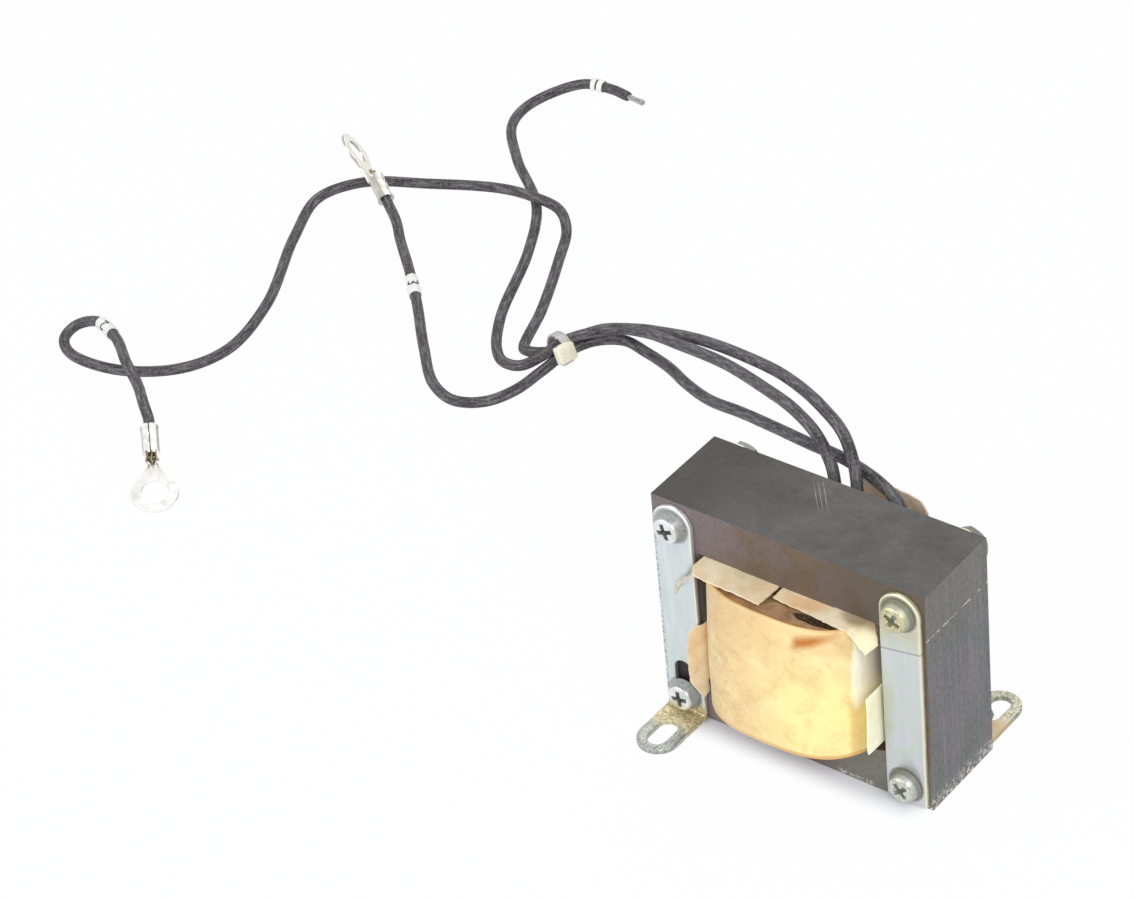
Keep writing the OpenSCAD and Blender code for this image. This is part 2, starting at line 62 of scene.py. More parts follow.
core = {"width": 66.0, "leg": 11.0, "yoke": 11.0, "window": 33.0, "gap": 0.25, "bar": 11.0, "depth": 22.4,
        "plates": 35, "hole": 4.5, "inset": 5.5, "slip": 0.008, "lift": 0.006, "edge": 0.012,
        "between": 0.004, "seed": 4}
coreHalf, legTop = core["width"] / 2, core["yoke"] + core["window"]
barLow = legTop + core["gap"]
coreTop = barLow + core["bar"]
frontY = -core["depth"] / 2
holeX, holeLow, holeHigh = coreHalf - core["inset"], core["inset"], coreTop - core["inset"]
holeMiddle, holeRise = (holeHigh + holeLow) / 2, (holeHigh - holeLow) / 2


# node trees: sums and colours on sockets, and one way to add any node

def shade(red, green, blue):  # screen colour 0-255 as a linear colour
    def linear(v):
        v /= 255
        return v / 12.92 if v <= 0.04045 else ((v + 0.055) / 1.055) ** 2.4
    return (linear(red), linear(green), linear(blue), 1.0)


def sums(operation, swapped=False):  # one sum as a method
    def method(self, other=0.0):
        first, second = (other, self) if swapped else (self, other)
        return self.graph.node("ShaderNodeMath", {"operation": operation}, {0: first, 1: second})
    return method


class Wire:
    def __init__(self, graph, socket):
        self.graph, self.socket = graph, socket

    __add__, __radd__ = sums("ADD"), sums("ADD", True)
    __sub__, __rsub__ = sums("SUBTRACT"), sums("SUBTRACT", True)
    __mul__, __rmul__ = sums("MULTIPLY"), sums("MULTIPLY", True)
    __truediv__, __pow__, __abs__ = sums("DIVIDE"), sums("POWER"), sums("ABSOLUTE")
    over, below, sine, cosine = sums("MAXIMUM"), sums("LESS_THAN"), sums("SINE"), sums("COSINE")

    def band(self, low, high, start=0.0, end=1.0):  # a soft step from start to end
        return self.graph.node("ShaderNodeMapRange", {"interpolation_type": "SMOOTHSTEP"}, {
            "Value": self, "From Min": low, "From Max": high, "To Min": start, "To Max": end})

    def between(self, first, second):  # mixes two colours by this value
        first, second = (c if isinstance(c, Wire) else shade(*c) for c in (first, second))
        return self.graph.node("ShaderNodeMix", {"data_type": "RGBA"}, {0: self, 6: first, 7: second}, out=2)

    def tint(self, amount, other):  # lays a colour over this one
        return amount.between(self, other)

    def ramp(self, *stops):  # each stop is a place and a colour
        stops = [(place, shade(*colour)) for place, *colour in stops]
        return self.graph.node("ShaderNodeValToRGB", {"stops": stops}, {"Fac": self})

    def relief(self, depth, strength=1.0, under=None):
        sockets = {"Height": self, "Distance": depth * mm, "Strength": strength}
        if under:
            sockets["Normal"] = under
        return self.graph.node("ShaderNodeBump", sockets=sockets)


class Graph:
    def __init__(self, tree):
        self.tree = tree

    def node(self, kind, settings=None, sockets=None, out=0):
        made = self.tree.nodes.new(kind)
        for key, value in (settings or {}).items():
            if key == "stops":
                ramp = made.color_ramp
                ramp.elements[0].position, ramp.elements[1].position = value[0][0], value[-1][0]
                for place, _ in value[1:-1]:
                    ramp.elements.new(place)
                for stop, (_, colour) in zip(ramp.elements, value):
                    stop.color = colour
            else:
                setattr(made, key, value)
        for key, value in (sockets or {}).items():
            if isinstance(value, Wire):
                self.tree.links.new(value.socket, made.inputs[key])
            else:
                made.inputs[key].default_value = value
        return Wire(self, made.outputs[out])

    def outs(self, wire):  # all outputs of the node behind a socket
        return {output.name: Wire(self, output) for output in wire.socket.node.outputs}

    def seen(self):  # 1 for what is looked at, straight or in a reflection
        path = self.outs(self.node("ShaderNodeLightPath"))
        return path["Is Camera Ray"].over(path["Is Glossy Ray"]).over(path["Is Transmission Ray"])


class Finish(Graph):
    def __init__(self, name, fixed=None):
        self.material = bpy.data.materials.new(name)
        self.material.use_nodes = True
        super().__init__(self.material.node_tree)
        self.shader = self.tree.nodes["Principled BSDF"]
        for key, value in (fixed or {}).items():
            self.shader.inputs[key].default_value = value
        self.point = self.node("ShaderNodeTexCoord", out="Object")

    def parts(self, vector):
        return self.outs(self.node("ShaderNodeSeparateXYZ", sockets={"Vector": vector})).values()

    def axes(self):  # place on the object, in mm
        return [part * 1000 for part in self.parts(self.point)]

    def facing(self):  # which way the surface faces
        return list(self.parts(self.node("ShaderNodeNewGeometry", out="Normal")))

    def grain(self, size, detail=3.0, rough=0.55, stretch=None, warp=0.0, point=None):
        point = point or self.point
        if stretch:
            point = self.node("ShaderNodeMapping", sockets={"Vector": point, "Scale": stretch})
        return self.node("ShaderNodeTexNoise", sockets={
            "Vector": point, "Scale": 1 / (size * mm), "Detail": detail, "Roughness": rough,
            "Distortion": warp}, out="Fac")

    def feed(self, **links):
        for key, value in links.items():
            self.tree.links.new(value.socket, self.shader.inputs[key.replace("_", " ")])
        return self.material


class NodeMaker(Graph):  # a geometry tree with named sizes
    def __init__(self, name, inputs):
        super().__init__(bpy.data.node_groups.new(name, "GeometryNodeTree"))
        face = self.tree.interface
        face.new_socket(name="Geometry", in_out="INPUT", socket_type="NodeSocketGeometry")
        self.ids = {}
        for label, kind in inputs.items():
            socket = face.new_socket(name=label, in_out="INPUT", socket_type="NodeSocket" + kind)
            self.ids[label] = socket.identifier
        face.new_socket(name="Geometry", in_out="OUTPUT", socket_type="NodeSocketGeometry")
        entry = self.tree.nodes.new("NodeGroupInput")
        self.given = {socket.name: Wire(self, socket) for socket in entry.outputs if socket.name}

    def vector(self, **parts):
        return self.node("ShaderNodeCombineXYZ", sockets=parts)

    def close(self, shape):
        real = self.node("GeometryNodeRealizeInstances", sockets={"Geometry": shape})
        done = self.node("GeometryNodeSetMaterial", sockets={
            "Geometry": real, "Material": self.given["Finish"]})
        self.tree.links.new(done.socket, self.tree.nodes.new("NodeGroupOutput").inputs[0])
        return self

    def run(self, mesh, values):  # the tree's result as a plain mesh
        holder = placed("holder", mesh)
        modifier = holder.modifiers.new("tree", "NODES")
        modifier.node_group = self.tree
        for label, value in values.items():
            modifier[self.ids[label]] = value
        made = evaluated(holder)
        holder.modifiers.remove(modifier)
        bpy.data.objects.remove(holder)
        return made


# shapes

def placed(name, data):  # an object in the scene
    item = bpy.data.objects.new(name, data)
    scene.collection.objects.link(item)
    return item


def evaluated(item):  # its mesh with all modifiers
    return bpy.data.meshes.new_from_object(item.evaluated_get(bpy.context.evaluated_depsgraph_get()))


def toMesh(name, bm):  # from mm to metres
    bmesh.ops.scale(bm, vec=(mm, mm, mm), verts=bm.verts)
    mesh = bpy.data.meshes.new(name)
    bm.to_mesh(mesh)
    bm.free()
    return mesh


def asMesh(name, bm, merge=0.0005):  # the same, as one clean skin
    bmesh.ops.remove_doubles(bm, verts=bm.verts, dist=merge)
    bmesh.ops.recalc_face_normals(bm, faces=bm.faces)
    return toMesh(name, bm)


def makePiece(name, shape, finishes, slotName, *stands, smooth=40):
    mesh = asMesh(name, shape) if isinstance(shape, bmesh.types.BMesh) else shape
    piece = placed(name, mesh)
    picks = [min(polygon.material_index, len(finishes) - 1) for polygon in mesh.polygons]
    mesh.materials.clear()
    for material in finishes:
        mesh.materials.append(material)
    mesh.polygons.foreach_set("material_index", picks)  # clearing has put them back to the first
    mesh.polygons.foreach_set("use_smooth", [True] * len(mesh.polygons))
    mesh.set_sharp_from_angle(angle=math.radians(smooth))
    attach(piece, "root")
    if stands:
        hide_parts(*stands)
    return piece


def joined(*parts):
    whole = bmesh.new()
    for part in parts:
        scrap = bpy.data.meshes.new("scrap")
        part.to_mesh(scrap)
        whole.from_mesh(scrap)
        part.free()
        bpy.data.meshes.remove(scrap)
    return whole


def marked(bm, index):  # sets which finish its faces take
    for face in bm.faces:
        face.material_index = index
    return bm


def moved(bm, matrix):
    bmesh.ops.transform(bm, matrix=matrix, verts=bm.verts)
    return bm


def reshaped(bm, rule):  # moves each point of a sheet by a rule on its flat place
    for v in bm.verts:
        v.co = rule(*v.co)
    return bm


def block(matrix):  # a cube of size 1, set by the matrix
    bm = bmesh.new()
    bmesh.ops.create_cube(bm, size=1.0, matrix=matrix)
    return bm


def polar(radius, turn):
    return (radius * math.cos(turn), radius * math.sin(turn))


def turns(count):  # equal angles round a full turn
    return [2 * math.pi * k / count for k in range(count)]


def steps(low, high, step):
    count = max(1, round((high - low) / step))
    return [low + (high - low) * i / count for i in range(count + 1)]


def circle(x, y, radius, count=32, start=0.0, end=360.0):
    last = count if abs(end - start) >= 360 else count - 1  # a full circle doesn't repeat its first point
    spots = [polar(radius, math.radians(start + (end - start) * i / last)) for i in range(count)]
    return [(x + across, y + up) for across, up in spots]


def slotLoop(x, y0, y1, width, count=12):  # upright slot between the end centres y0 and y1
    return circle(x, y1, width / 2, count, 0, 180) + circle(x, y0, width / 2, count, 180, 360)


def ovalPoint(turn, x, y, power):
    c, s = math.cos(turn), math.sin(turn)
    return (math.copysign(abs(c) ** (2 / power), c) * x, math.copysign(abs(s) ** (2 / power), s) * y)


def oval(x, y, power, z, count):
    return [ovalPoint(turn, x, y, power) + (z,) for turn in turns(count)]


def handCut(loop, wobble, seed, still=0.0, step=0.4):  # as scissors leave it, but straight where |y| <= still
    out = []
    for i, (x, y) in enumerate(loop):
        x2, y2 = loop[(i + 1) % len(loop)]
        count = max(1, int(math.hypot(x2 - x, y2 - y) / step))
        for k in range(count):
            u = k / count
            p = Vector((x + (x2 - x) * u, y + (y2 - y) * u, seed * 7.3))
            amount = 0.0 if abs(p.y) <= still else wobble
            push = []
            for far in (0, 40):
                broad, fine = Vector((far, 9, 0)), Vector((far, 3, 0))
                push.append(amount * (noise.noise(p * 0.9 + broad) + 0.4 * noise.noise(p * 2.6 + fine)))
            out.append((p.x + push[0], p.y + push[1]))
    return out


def curveShape(curve):  # a filled curve as a mesh to edit
    holder = placed(curve.name, curve)
    mesh = evaluated(holder)
    bm = bmesh.new()
    bm.from_mesh(mesh)
    bpy.data.objects.remove(holder)
    bpy.data.curves.remove(curve)
    bpy.data.meshes.remove(mesh)
    bmesh.ops.remove_doubles(bm, verts=bm.verts, dist=0.001)
    return bm


def cutSheet(loops, thick, edge, rings=1):  # flat blank in XY with rounded edges, its middle at Z 0
    curve = bpy.data.curves.new("blank", "CURVE")
    curve.dimensions, curve.fill_mode = "2D", "BOTH"
    curve.extrude, curve.bevel_depth, curve.bevel_resolution = thick / 2 - edge, edge, rings
    curve.offset = -edge
    for loop in loops:
        line = curve.splines.new("POLY")
        line.points.add(len(loop) - 1)
        for point, (x, y) in zip(line.points, loop):
            point.co = (x, y, 0, 1)
        line.use_cyclic_u = True
    return curveShape(curve)


def scored(bm, along, places, origin=(0, 0, 0)):  # cuts across a blank, so that it can bend there
    normal = Vector(along).normalized()
    for place in places:
        bmesh.ops.bisect_plane(bm, geom=bm.verts[:] + bm.edges[:] + bm.faces[:], dist=1e-5,
                               plane_co=Vector(origin) + normal * place, plane_no=normal)
    return bm


def loft(rings, closed=False):  # skin over rings of equal count; closed joins the last to the first
    bm = bmesh.new()
    rows = [[bm.verts.new(p) for p in ring] for ring in rings]
    count = len(rows[0])
    for a, b in zip(rows, rows[1:] + (rows[:1] if closed else [])):
        for k in range(count):
            bm.faces.new((a[k], a[(k + 1) % count], b[(k + 1) % count], b[k]))
    if not closed:
        bm.faces.new(rows[0][::-1])
        bm.faces.new(rows[-1])
    return bm


def smoothRoute(points, spacing=1.0, cuts=24):  # one rounded line through the points, evenly spaced
    p = [Vector(q) for q in points]
    p = [p[0] * 2 - p[1]] + p + [p[-1] * 2 - p[-2]]
    fine = []
    for a, b, c, d in zip(p, p[1:], p[2:], p[3:]):
        knots = [0.0]
        for u, v in ((a, b), (b, c), (c, d)):
            knots.append(knots[-1] + max((v - u).length, 1e-6) ** 0.5)
        k0, k1, k2, k3 = knots
        for i in range(cuts):
            t = k1 + (k2 - k1) * i / cuts
            a1 = a.lerp(b, (t - k0) / (k1 - k0))
            a2 = b.lerp(c, (t - k1) / (k2 - k1))
            a3 = c.lerp(d, (t - k2) / (k3 - k2))
            b1 = a1.lerp(a2, (t - k0) / (k2 - k0))
            b2 = a2.lerp(a3, (t - k1) / (k3 - k1))
            fine.append(b1.lerp(b2, (t - k1) / (k2 - k1)))
    fine.append(p[-2])
    run = [0.0]
    for a, b in zip(fine, fine[1:]):
        run.append(run[-1] + (b - a).length)
    count = max(2, round(run[-1] / spacing))
    out, i = [], 0
    for k in range(count + 1):
        want = run[-1] * k / count
        while i < len(run) - 2 and run[i + 1] < want:
            i += 1
        out.append(fine[i].lerp(fine[i + 1], (want - run[i]) / max(run[i + 1] - run[i], 1e-9)))
    return out, run[-1]


def frames(line):  # (place, side, up, along) at each point, without twist
    out, side = [], Vector((1, 0, 0))
    for i, p in enumerate(line):
        along = (line[min(i + 1, len(line) - 1)] - line[max(i - 1, 0)]).normalized()
        side = (side - along * side.dot(along)).normalized()
        out.append((p, side, along.cross(side), along))
    return out


# camera, as the photo was taken

shot = {"place": (0.39441, -0.53602, 0.57099), "turn": 40.51, "height": 36.61, "roll": -5.99, "lens": 133.2}


def photoCamera():
    turn, height, roll = (math.radians(shot[key]) for key in ("turn", "height", "roll"))
    right = Vector((math.cos(turn), math.sin(turn), 0))
    back = Vector((math.sin(turn) * math.cos(height), -math.cos(turn) * math.cos(height), math.sin(height)))
    up = back.cross(right)
    across = right * math.cos(roll) + up * math.sin(roll)
    upright = up * math.cos(roll) - right * math.sin(roll)
    data = bpy.data.cameras.new("photoCamera")
    data.lens, data.sensor_width, data.sensor_fit = shot["lens"], 36, "HORIZONTAL"
    data.clip_start, data.clip_end = 0.01, 50
    camera = placed("photoCamera", data)
    camera.matrix_world = Matrix((across, upright, back)).transposed().to_4x4()
    camera.location = shot["place"]
    scene.camera = camera


photoCamera()


# floor and light

studio = {"floorHalf": 4.0, "floorZ": -0.0001, "floorColour": shade(236, 239, 247), "foot": (26, 11.2),
          "fade": (0.2, 7.4), "lift": (0.0, 0.97), "sky": 0.58, "aim": (0, 0, 0.02)}
lamps = {"key": {"place": (0.75, -0.62, 0.75), "size": 0.7, "power": 6.6},
         "fill": {"place": (-0.6, -0.85, 0.55), "size": 0.9, "power": 4.3},
         "rim": {"place": (-0.35, 0.9, 0.8), "size": 0.8, "power": 2.2}}


def whiteFloor():  # seen as pure white, apart from the shade close to the core
    half, low = studio["floorHalf"], studio["floorZ"]
    mesh = bpy.data.meshes.new("floor")
    corners = [(x * half, y * half, low) for x, y in ((-1, -1), (1, -1), (1, 1), (-1, 1))]
    mesh.from_pydata(corners, [], [(0, 1, 2, 3)])
    placed("floor", mesh)
    finish = Finish("floorWhite", {"Base Color": studio["floorColour"], "Roughness": 0.9,
                                   "Specular IOR Level": 0.0})
    glow = finish.node("ShaderNodeEmission", sockets={"Color": (1, 1, 1, 1), "Strength": 1.0})
    beside = [(abs(v) - half).over(0.0) for v, half in zip(finish.axes(), studio["foot"])]
    away = (beside[0] * beside[0] + beside[1] * beside[1]) ** 0.5
    both = finish.node("ShaderNodeMixShader", sockets={
        0: finish.seen() * away.band(*studio["fade"], *studio["lift"]),
        1: Wire(finish, finish.shader.outputs[0]), 2: glow})
    finish.tree.links.new(both.socket, finish.tree.nodes["Material Output"].inputs["Surface"])
    mesh.materials.append(finish.material)


def whiteRoom():
    scene.world = bpy.data.worlds.new("whiteRoom")
    scene.world.use_nodes = True
    room, sky = Graph(scene.world.node_tree), studio["sky"]
    back = room.tree.nodes["Background"]
    back.inputs["Color"].default_value = (1, 1, 1, 1)
    room.tree.links.new((room.seen() * (1 - sky) + sky).socket, back.inputs["Strength"])
    for name, lamp in lamps.items():
        data = bpy.data.lights.new(name, "AREA")
        data.size, data.energy = lamp["size"], lamp["power"]
        light = placed(name, data)
        light.location = lamp["place"]
        aim = Vector(studio["aim"]) - Vector(lamp["place"])
        light.rotation_euler = aim.to_track_quat("-Z", "Y").to_euler()
    scene.view_settings.view_transform = "Standard"


whiteFloor()
whiteRoom()
print("camera, floor and light set")


# finishes

def steelFinish():  # varnished plates: grey cut edges, a browner front with painted shade by the left bracket, a few scuffs
    finish = Finish("coreSteel", {"Specular IOR Level": 0.4})
    x, y, z = finish.axes()
    _, ahead, upward = finish.facing()
    flat, top = abs(ahead).band(0.4, 0.8), upward.band(0.4, 0.8)
    plate = finish.node("ShaderNodeAttribute", {"attribute_name": "plateTone"}, out="Fac")
    broad, fine = finish.grain(14, 4, 0.6, warp=0.4), finish.grain(1.1, 4, 0.65)
    fine = (fine - 0.5) * top.band(0.0, 1.0, 1.0, 0.45) + 0.5  # the top is smoother
    patch = finish.grain(6.5, 5, 0.62, warp=0.6)
    streak = finish.grain(0.9, 3, 0.6, stretch=(1, 1, 0.05))
    front = broad.ramp((0.3, 104, 91, 86), (0.5, 114, 100, 95), (0.7, 120, 108, 106))
    front = front.tint(x.band(-4, -20) * 0.6, (128, 118, 121))
    front = front.tint(patch.band(0.45, 0.6) * x.band(-22, -8) * 0.65, (110, 94, 66))
    front = front.tint(x.band(4, 20) * z.band(40, 46) * 0.8, (96, 86, 74))
    front = front.tint(x.band(2, 12) * z.band(14, 9) * 0.7, (126, 126, 119))
    front = front.tint(x.band(-2, -10) * z.band(14, 9) * 0.9, (142, 127, 122))
    hole = abs(x + holeX).band(2.7, 2.2) * abs(z - 9).band(7.0, 6.0)  # painted shade behind the bracket's slot
    inset = abs(x + 21.7).band(1.5, 0.9) * abs(z - 27.5).band(17, 15)  # and painted shade in the gap beside the left bracket
    front = front.tint((hole * 0.9).over(inset * 0.75), (44, 39, 41))
    side = streak.ramp((0.3, 106, 109, 109), (0.5, 119, 118, 120), (0.7, 129, 123, 130))
    side = side.tint(broad.band(0.48, 0.6) * 0.4, (110, 118, 110))
    side = side.tint(z.band(34, 50) * 0.5, (120, 119, 106))
    roof = broad.ramp((0.35, 73, 72, 71), (0.5, 88, 87, 86), (0.65, 101, 99, 98))
    roof = roof.tint(x.band(-4, -28) * 0.75, (62, 60, 59))
    edges = side.tint(top, roof).tint(plate * top.band(0.0, 1.0, 0.3, 0.1), (84, 82, 82))
    colour = edges.tint(flat, front).tint(fine.band(0.5, 0.72) * 0.25, (72, 68, 64))
    rub = finish.grain(0.8, 4, 0.7).band(0.48, 0.58)
    corner = z.band(2.2, 0.3) * x.band(27, 31.5)  # pale scuffs at the lower right
    scuff = rub * corner.over(z.band(5.0, 0.2) * x.band(32.4, 32.9))
    dash = rub * abs(z - 0.7).band(0.7, 0.25) * abs(x - 14.2).band(4.8, 3.6) * flat
    run, off = x * 0.64 - y * 0.77, x * 0.77 + y * 0.64  # along and across three scratches on top
    lines = abs(abs(off - 1.9) - 0.5).band(0.16, 0.02).over(abs(off - 0.5).band(0.14, 0.02))
    scratch = lines * rub.band(0.0, 1.0, 0.2, 0.4) * abs(run + 6.2).band(6.4, 1.5) * top
    colour = colour.tint((scuff * 0.85).over(dash * 0.8).over(scratch), (226, 222, 214))
    return finish.feed(Base_Color=colour, Roughness=fine.band(0.3, 0.7, 0.42, 0.68),
                       Metallic=broad.band(0.3, 0.7, 0.15, 0.4), Normal=fine.relief(0.03, 0.6))


def gapFinish():  # the thin paper in the joint, broken by varnish; its front, partly hidden by the collars, is painted dark as shade
    finish = Finish("gapPaper", {"Roughness": 0.7})
    worn = finish.grain(1.3, 3, 0.7)
    flat = abs(finish.facing()[1]).band(0.4, 0.8)
    # painted shade: where the paper faces the front, it takes the dark colour
    colour = worn.band(0.44, 0.56).over(flat).between((222, 216, 186), (104, 94, 84))
    return finish.feed(Base_Color=colour, Normal=worn.relief(0.05))


def coilFinish():  # varnished wrap paper, mottled, with stains, a painted highlight and painted shade
    finish = Finish("coilPaper", {"Specular IOR Level": 0.35, "Coat Roughness": 0.3})
    x, y, z = finish.axes()
    front = y.band(2, -4)
    mottle = finish.grain(7, 5, 0.62, warp=0.5)
    blotch = finish.grain(2.2, 4, 0.65)
    fibre = finish.grain(0.5, 4, 0.7, stretch=(1, 1, 0.35))
    colour = mottle.ramp((0.28, 222, 186, 130), (0.44, 236, 206, 148), (0.58, 243, 216, 158),
                         (0.72, 250, 232, 178))
    # painted highlight: the lower right of the front is brighter yellow where the key lamp falls
    glow = x.band(-4, 12) * z.band(40, 24) * front * mottle.band(0.3, 0.6, 0.5, 0.95)
    colour = colour.tint(glow, (253, 241, 164))
    left = x.band(-2, -14) * front  # duller towards the left: painted shade away from the key lamp, with greyer blotches
    colour = colour.tint(left * mottle.band(0.6, 0.4, 0.2, 0.55), (224, 194, 150))
    colour = colour.tint(left * blotch.band(0.5, 0.66) * 0.45, (204, 186, 134))
    # painted shade: the upper left of the front is darker
    colour = colour.tint(x.band(6, -12) * z.band(28, 40) * front * 0.55, (214, 178, 132))
    colour = colour.tint(blotch.band(0.56, 0.72) * 0.25, (212, 168, 104))
    grit = finish.grain(1.0, 4, 0.7)
    colour = colour.tint(grit.band(0.5, 0.66) * x.band(8, -10) * front * 0.4, (196, 184, 142))
    wander = (blotch - 0.5) * 1.4
    along = x - 8.4  # the brown stain starts here, rises to the right and thins out
    stain = (abs(z - 40.0 - along * 0.35 + wander) + along * 0.08).band(2.5, 0.3)
    stain = stain * (x + wander).band(6.2, 8.6) * x.band(18, 11)
    colour = colour.tint(stain * front, (194, 122, 48))
    edge = abs(x - 18.0 + wander * 0.7).band(1.1, 0.15) * z.band(28, 23)
    colour = colour.tint(edge * front * 0.5, (212, 156, 84))
    crease = (finish.grain(1.3, 3, 0.6, stretch=(1, 1, 0.2)) - 0.5) * 1.6
    flank = (x + crease * 0.9).band(17.4, 18.0) * z.band(22, 26) * front  # pale strip at the right edge, painted grey towards its right as shade
    bare = (x + crease).band(17.9, 19.9).between((255, 251, 230), (202, 193, 178))
    colour = colour.tint(flank * 0.85, bare)
    hem = (z + wander * 0.5).band(12.6, 12.0)  # browner lower edge
    colour = colour.tint(hem * x.band(-12, 8, 0.3, 0.75), (216, 158, 92))
    bump = fibre.relief(0.04, 0.7, mottle.relief(0.3, 0.5))
    return finish.feed(Base_Color=colour, Roughness=blotch.band(0.3, 0.7, 0.36, 0.62),
                       Coat_Weight=mottle.band(0.5, 0.75) * 0.2, Normal=bump)


def windingFinish():  # varnish-flooded end of the winding, with a sunk slot in it painted dark as shade
    finish = Finish("windingVarnish", {"Coat Roughness": 0.2})
    x, y, _ = finish.axes()
    flow, fine = finish.grain(3.2, 4, 0.6, warp=0.8), finish.grain(0.6, 3, 0.6)
    colour = flow.ramp((0.3, 120, 90, 61), (0.5, 167, 132, 98), (0.7, 189, 154, 117))
    rim = ((abs(x) / 19.7) ** 3.0 + (abs(y) / 19.64) ** 3.0).band(0.84, 0.96)
    colour = colour.tint(rim * 0.8, (184, 122, 66))
    # painted shade: the sunk slot is painted nearly black
    slot = (((x - 9.4) / 5.0) ** 2.0 + ((y + 15.9) / 1.15) ** 2.0).band(1.2, 0.75)
    colour = colour.tint(slot * fine.band(0.35, 0.7, 1.0, 0.75), (34, 25, 8))
    return finish.feed(Base_Color=colour, Roughness=fine.band(0.3, 0.7, 0.3, 0.55),
                       Coat_Weight=flow.band(0.3, 0.7) * slot.band(0.0, 1.0, 0.4, 0.0),
                       Normal=flow.relief(0.3, 0.6))


def paperFinish(name, light, warm, dark, fold, marks=()):  # pressed paper; each mark is a soft spot of stain or of painted shade
    finish = Finish(name, {"Specular IOR Level": 0.3})
    cloud, fleck = finish.grain(5.5, 4, 0.6, warp=0.3), finish.grain(0.45, 4, 0.7)
    colour = cloud.ramp((0.32, *dark), (0.5, *warm), (0.66, *light))
    colour = colour.tint(fleck.band(0.52, 0.7) * 0.45, fold)
    colour = colour.tint(fleck.band(0.46, 0.3) * 0.35, light)
    axes = finish.axes()
    for place, half, mark, strength in marks:
        far = (cloud - 0.5) * 1.5
        for v, p, h in zip(axes, place, half):
            far = far + ((v - p) / h) ** 2.0
        colour = colour.tint(far.band(1.4, 0.1) * strength, mark)
    bump = fleck.relief(0.05, 0.9, cloud.relief(0.25, 0.5))
    return finish.feed(Base_Color=colour, Roughness=cloud.band(0.3, 0.7, 0.5, 0.75), Normal=bump)


def fromClamp(x, z):  # how far from the nearest screw's axis
    side, end = abs(abs(x) - holeX), abs(abs(z - holeMiddle) - holeRise)
    return (side * side + end * end) ** 0.5


def zincFinish():  # plated straps: faint streaks, a painted highlight on the rims, dirt on the feet
    finish = Finish("zincSteel")
    x, y, z = finish.axes()
    streak = finish.grain(1.6, 4, 0.65, stretch=(1, 1, 0.12))
    cloud, speck = finish.grain(6, 4, 0.6, warp=0.4), finish.grain(0.55, 4, 0.7)
    right, ahead, out = x.band(-5, 5), y.band(2, -2), abs(y)
    colour = streak.ramp((0.3, 204, 211, 214), (0.5, 215, 222, 225), (0.7, 226, 232, 235))
    colour = colour.tint(cloud.band(0.42, 0.6) * 0.4, (208, 222, 216))
    # the right strap is greyer and greener, more so towards the bottom
    rightStrapTone = finish.grain(4, 4, 0.65).band(0.42, 0.58).between((195, 203, 193), (202, 202, 208))
    colour = colour.tint(right * z.band(50, 8, 0.4, 0.7), rightStrapTone)
    high = z.band(39.5, 46) * right * ahead  # yellowed top of the right strap
    colour = colour.tint(high * speck.band(0.35, 0.65, 0.3, 0.85), (200, 193, 156))
    side, end = abs(abs(x) - holeX), (z - holeHigh).over(0.0)
    upright = out.band(13.4, 12.6)
    rim = ((side * side + end * end) ** 0.5).band(4.25, 4.6) * upright  # painted highlight on the edges towards the right
    rim = rim * (x - x.band(-5, 5, -holeX, holeX) + (z - 48).over(0.0) * 2).band(0, 3)
    colour = colour.tint(rim * 0.8, right.between((246, 248, 248), (243, 238, 206)))
    ring = fromClamp(x, z).band(4.45, 4.05)  # dirt and painted shade round the screw heads
    colour = colour.tint(ring * upright * 0.7, right.between((150, 154, 150), (112, 106, 78)))
    bent = out.band(12.6, 13.8)
    gold = bent.over(z.band(4.5, 2.0) * (x * y).band(50, 150)) * out.band(21.5, 16.5)  # yellowed bends
    tip = bent * out.band(16.5, 21)  # grey feet
    rear = speck.band(0.42, 0.58).between((108, 108, 76), (188, 184, 156))
    fore = speck.band(0.4, 0.6).between((132, 134, 124), (190, 192, 184))
    colour = colour.tint(tip * 0.8, rear.tint(ahead, fore))
    dirt = speck.band(0.42, 0.6).between((168, 146, 92), (240, 222, 166))
    colour = colour.tint(gold * 0.85, ahead.between((184, 158, 108), dirt))
    hatch = finish.grain(0.5, 2, 0.5, stretch=(1, 0.12, 1)).band(0.5, 0.62) * tip
    colour = colour.tint(hatch * 0.5, (132, 130, 116))
    slope = abs(z - 39.59 - (x - 22.95) * 0.174)  # a line across the right strap
    line = slope.band(0.3, 0.06) * x.band(10, 20) * ahead * upright
    colour = colour.tint(line * 0.6, (120, 114, 98))
    worn = x.band(-31.2, -32.1) * speck.band(0.46, 0.56) * ahead * upright  # nicked left edge
    colour = colour.tint(worn * 0.7, (118, 120, 116))
    bump = streak.relief(0.02, 0.6, speck.relief(0.015, 0.5))
    return finish.feed(Base_Color=colour, Roughness=cloud.band(0.3, 0.7, 0.3, 0.5),
                       Metallic=gold.over(ring * upright).band(0.0, 1.0, 0.85, 0.4), Normal=bump)


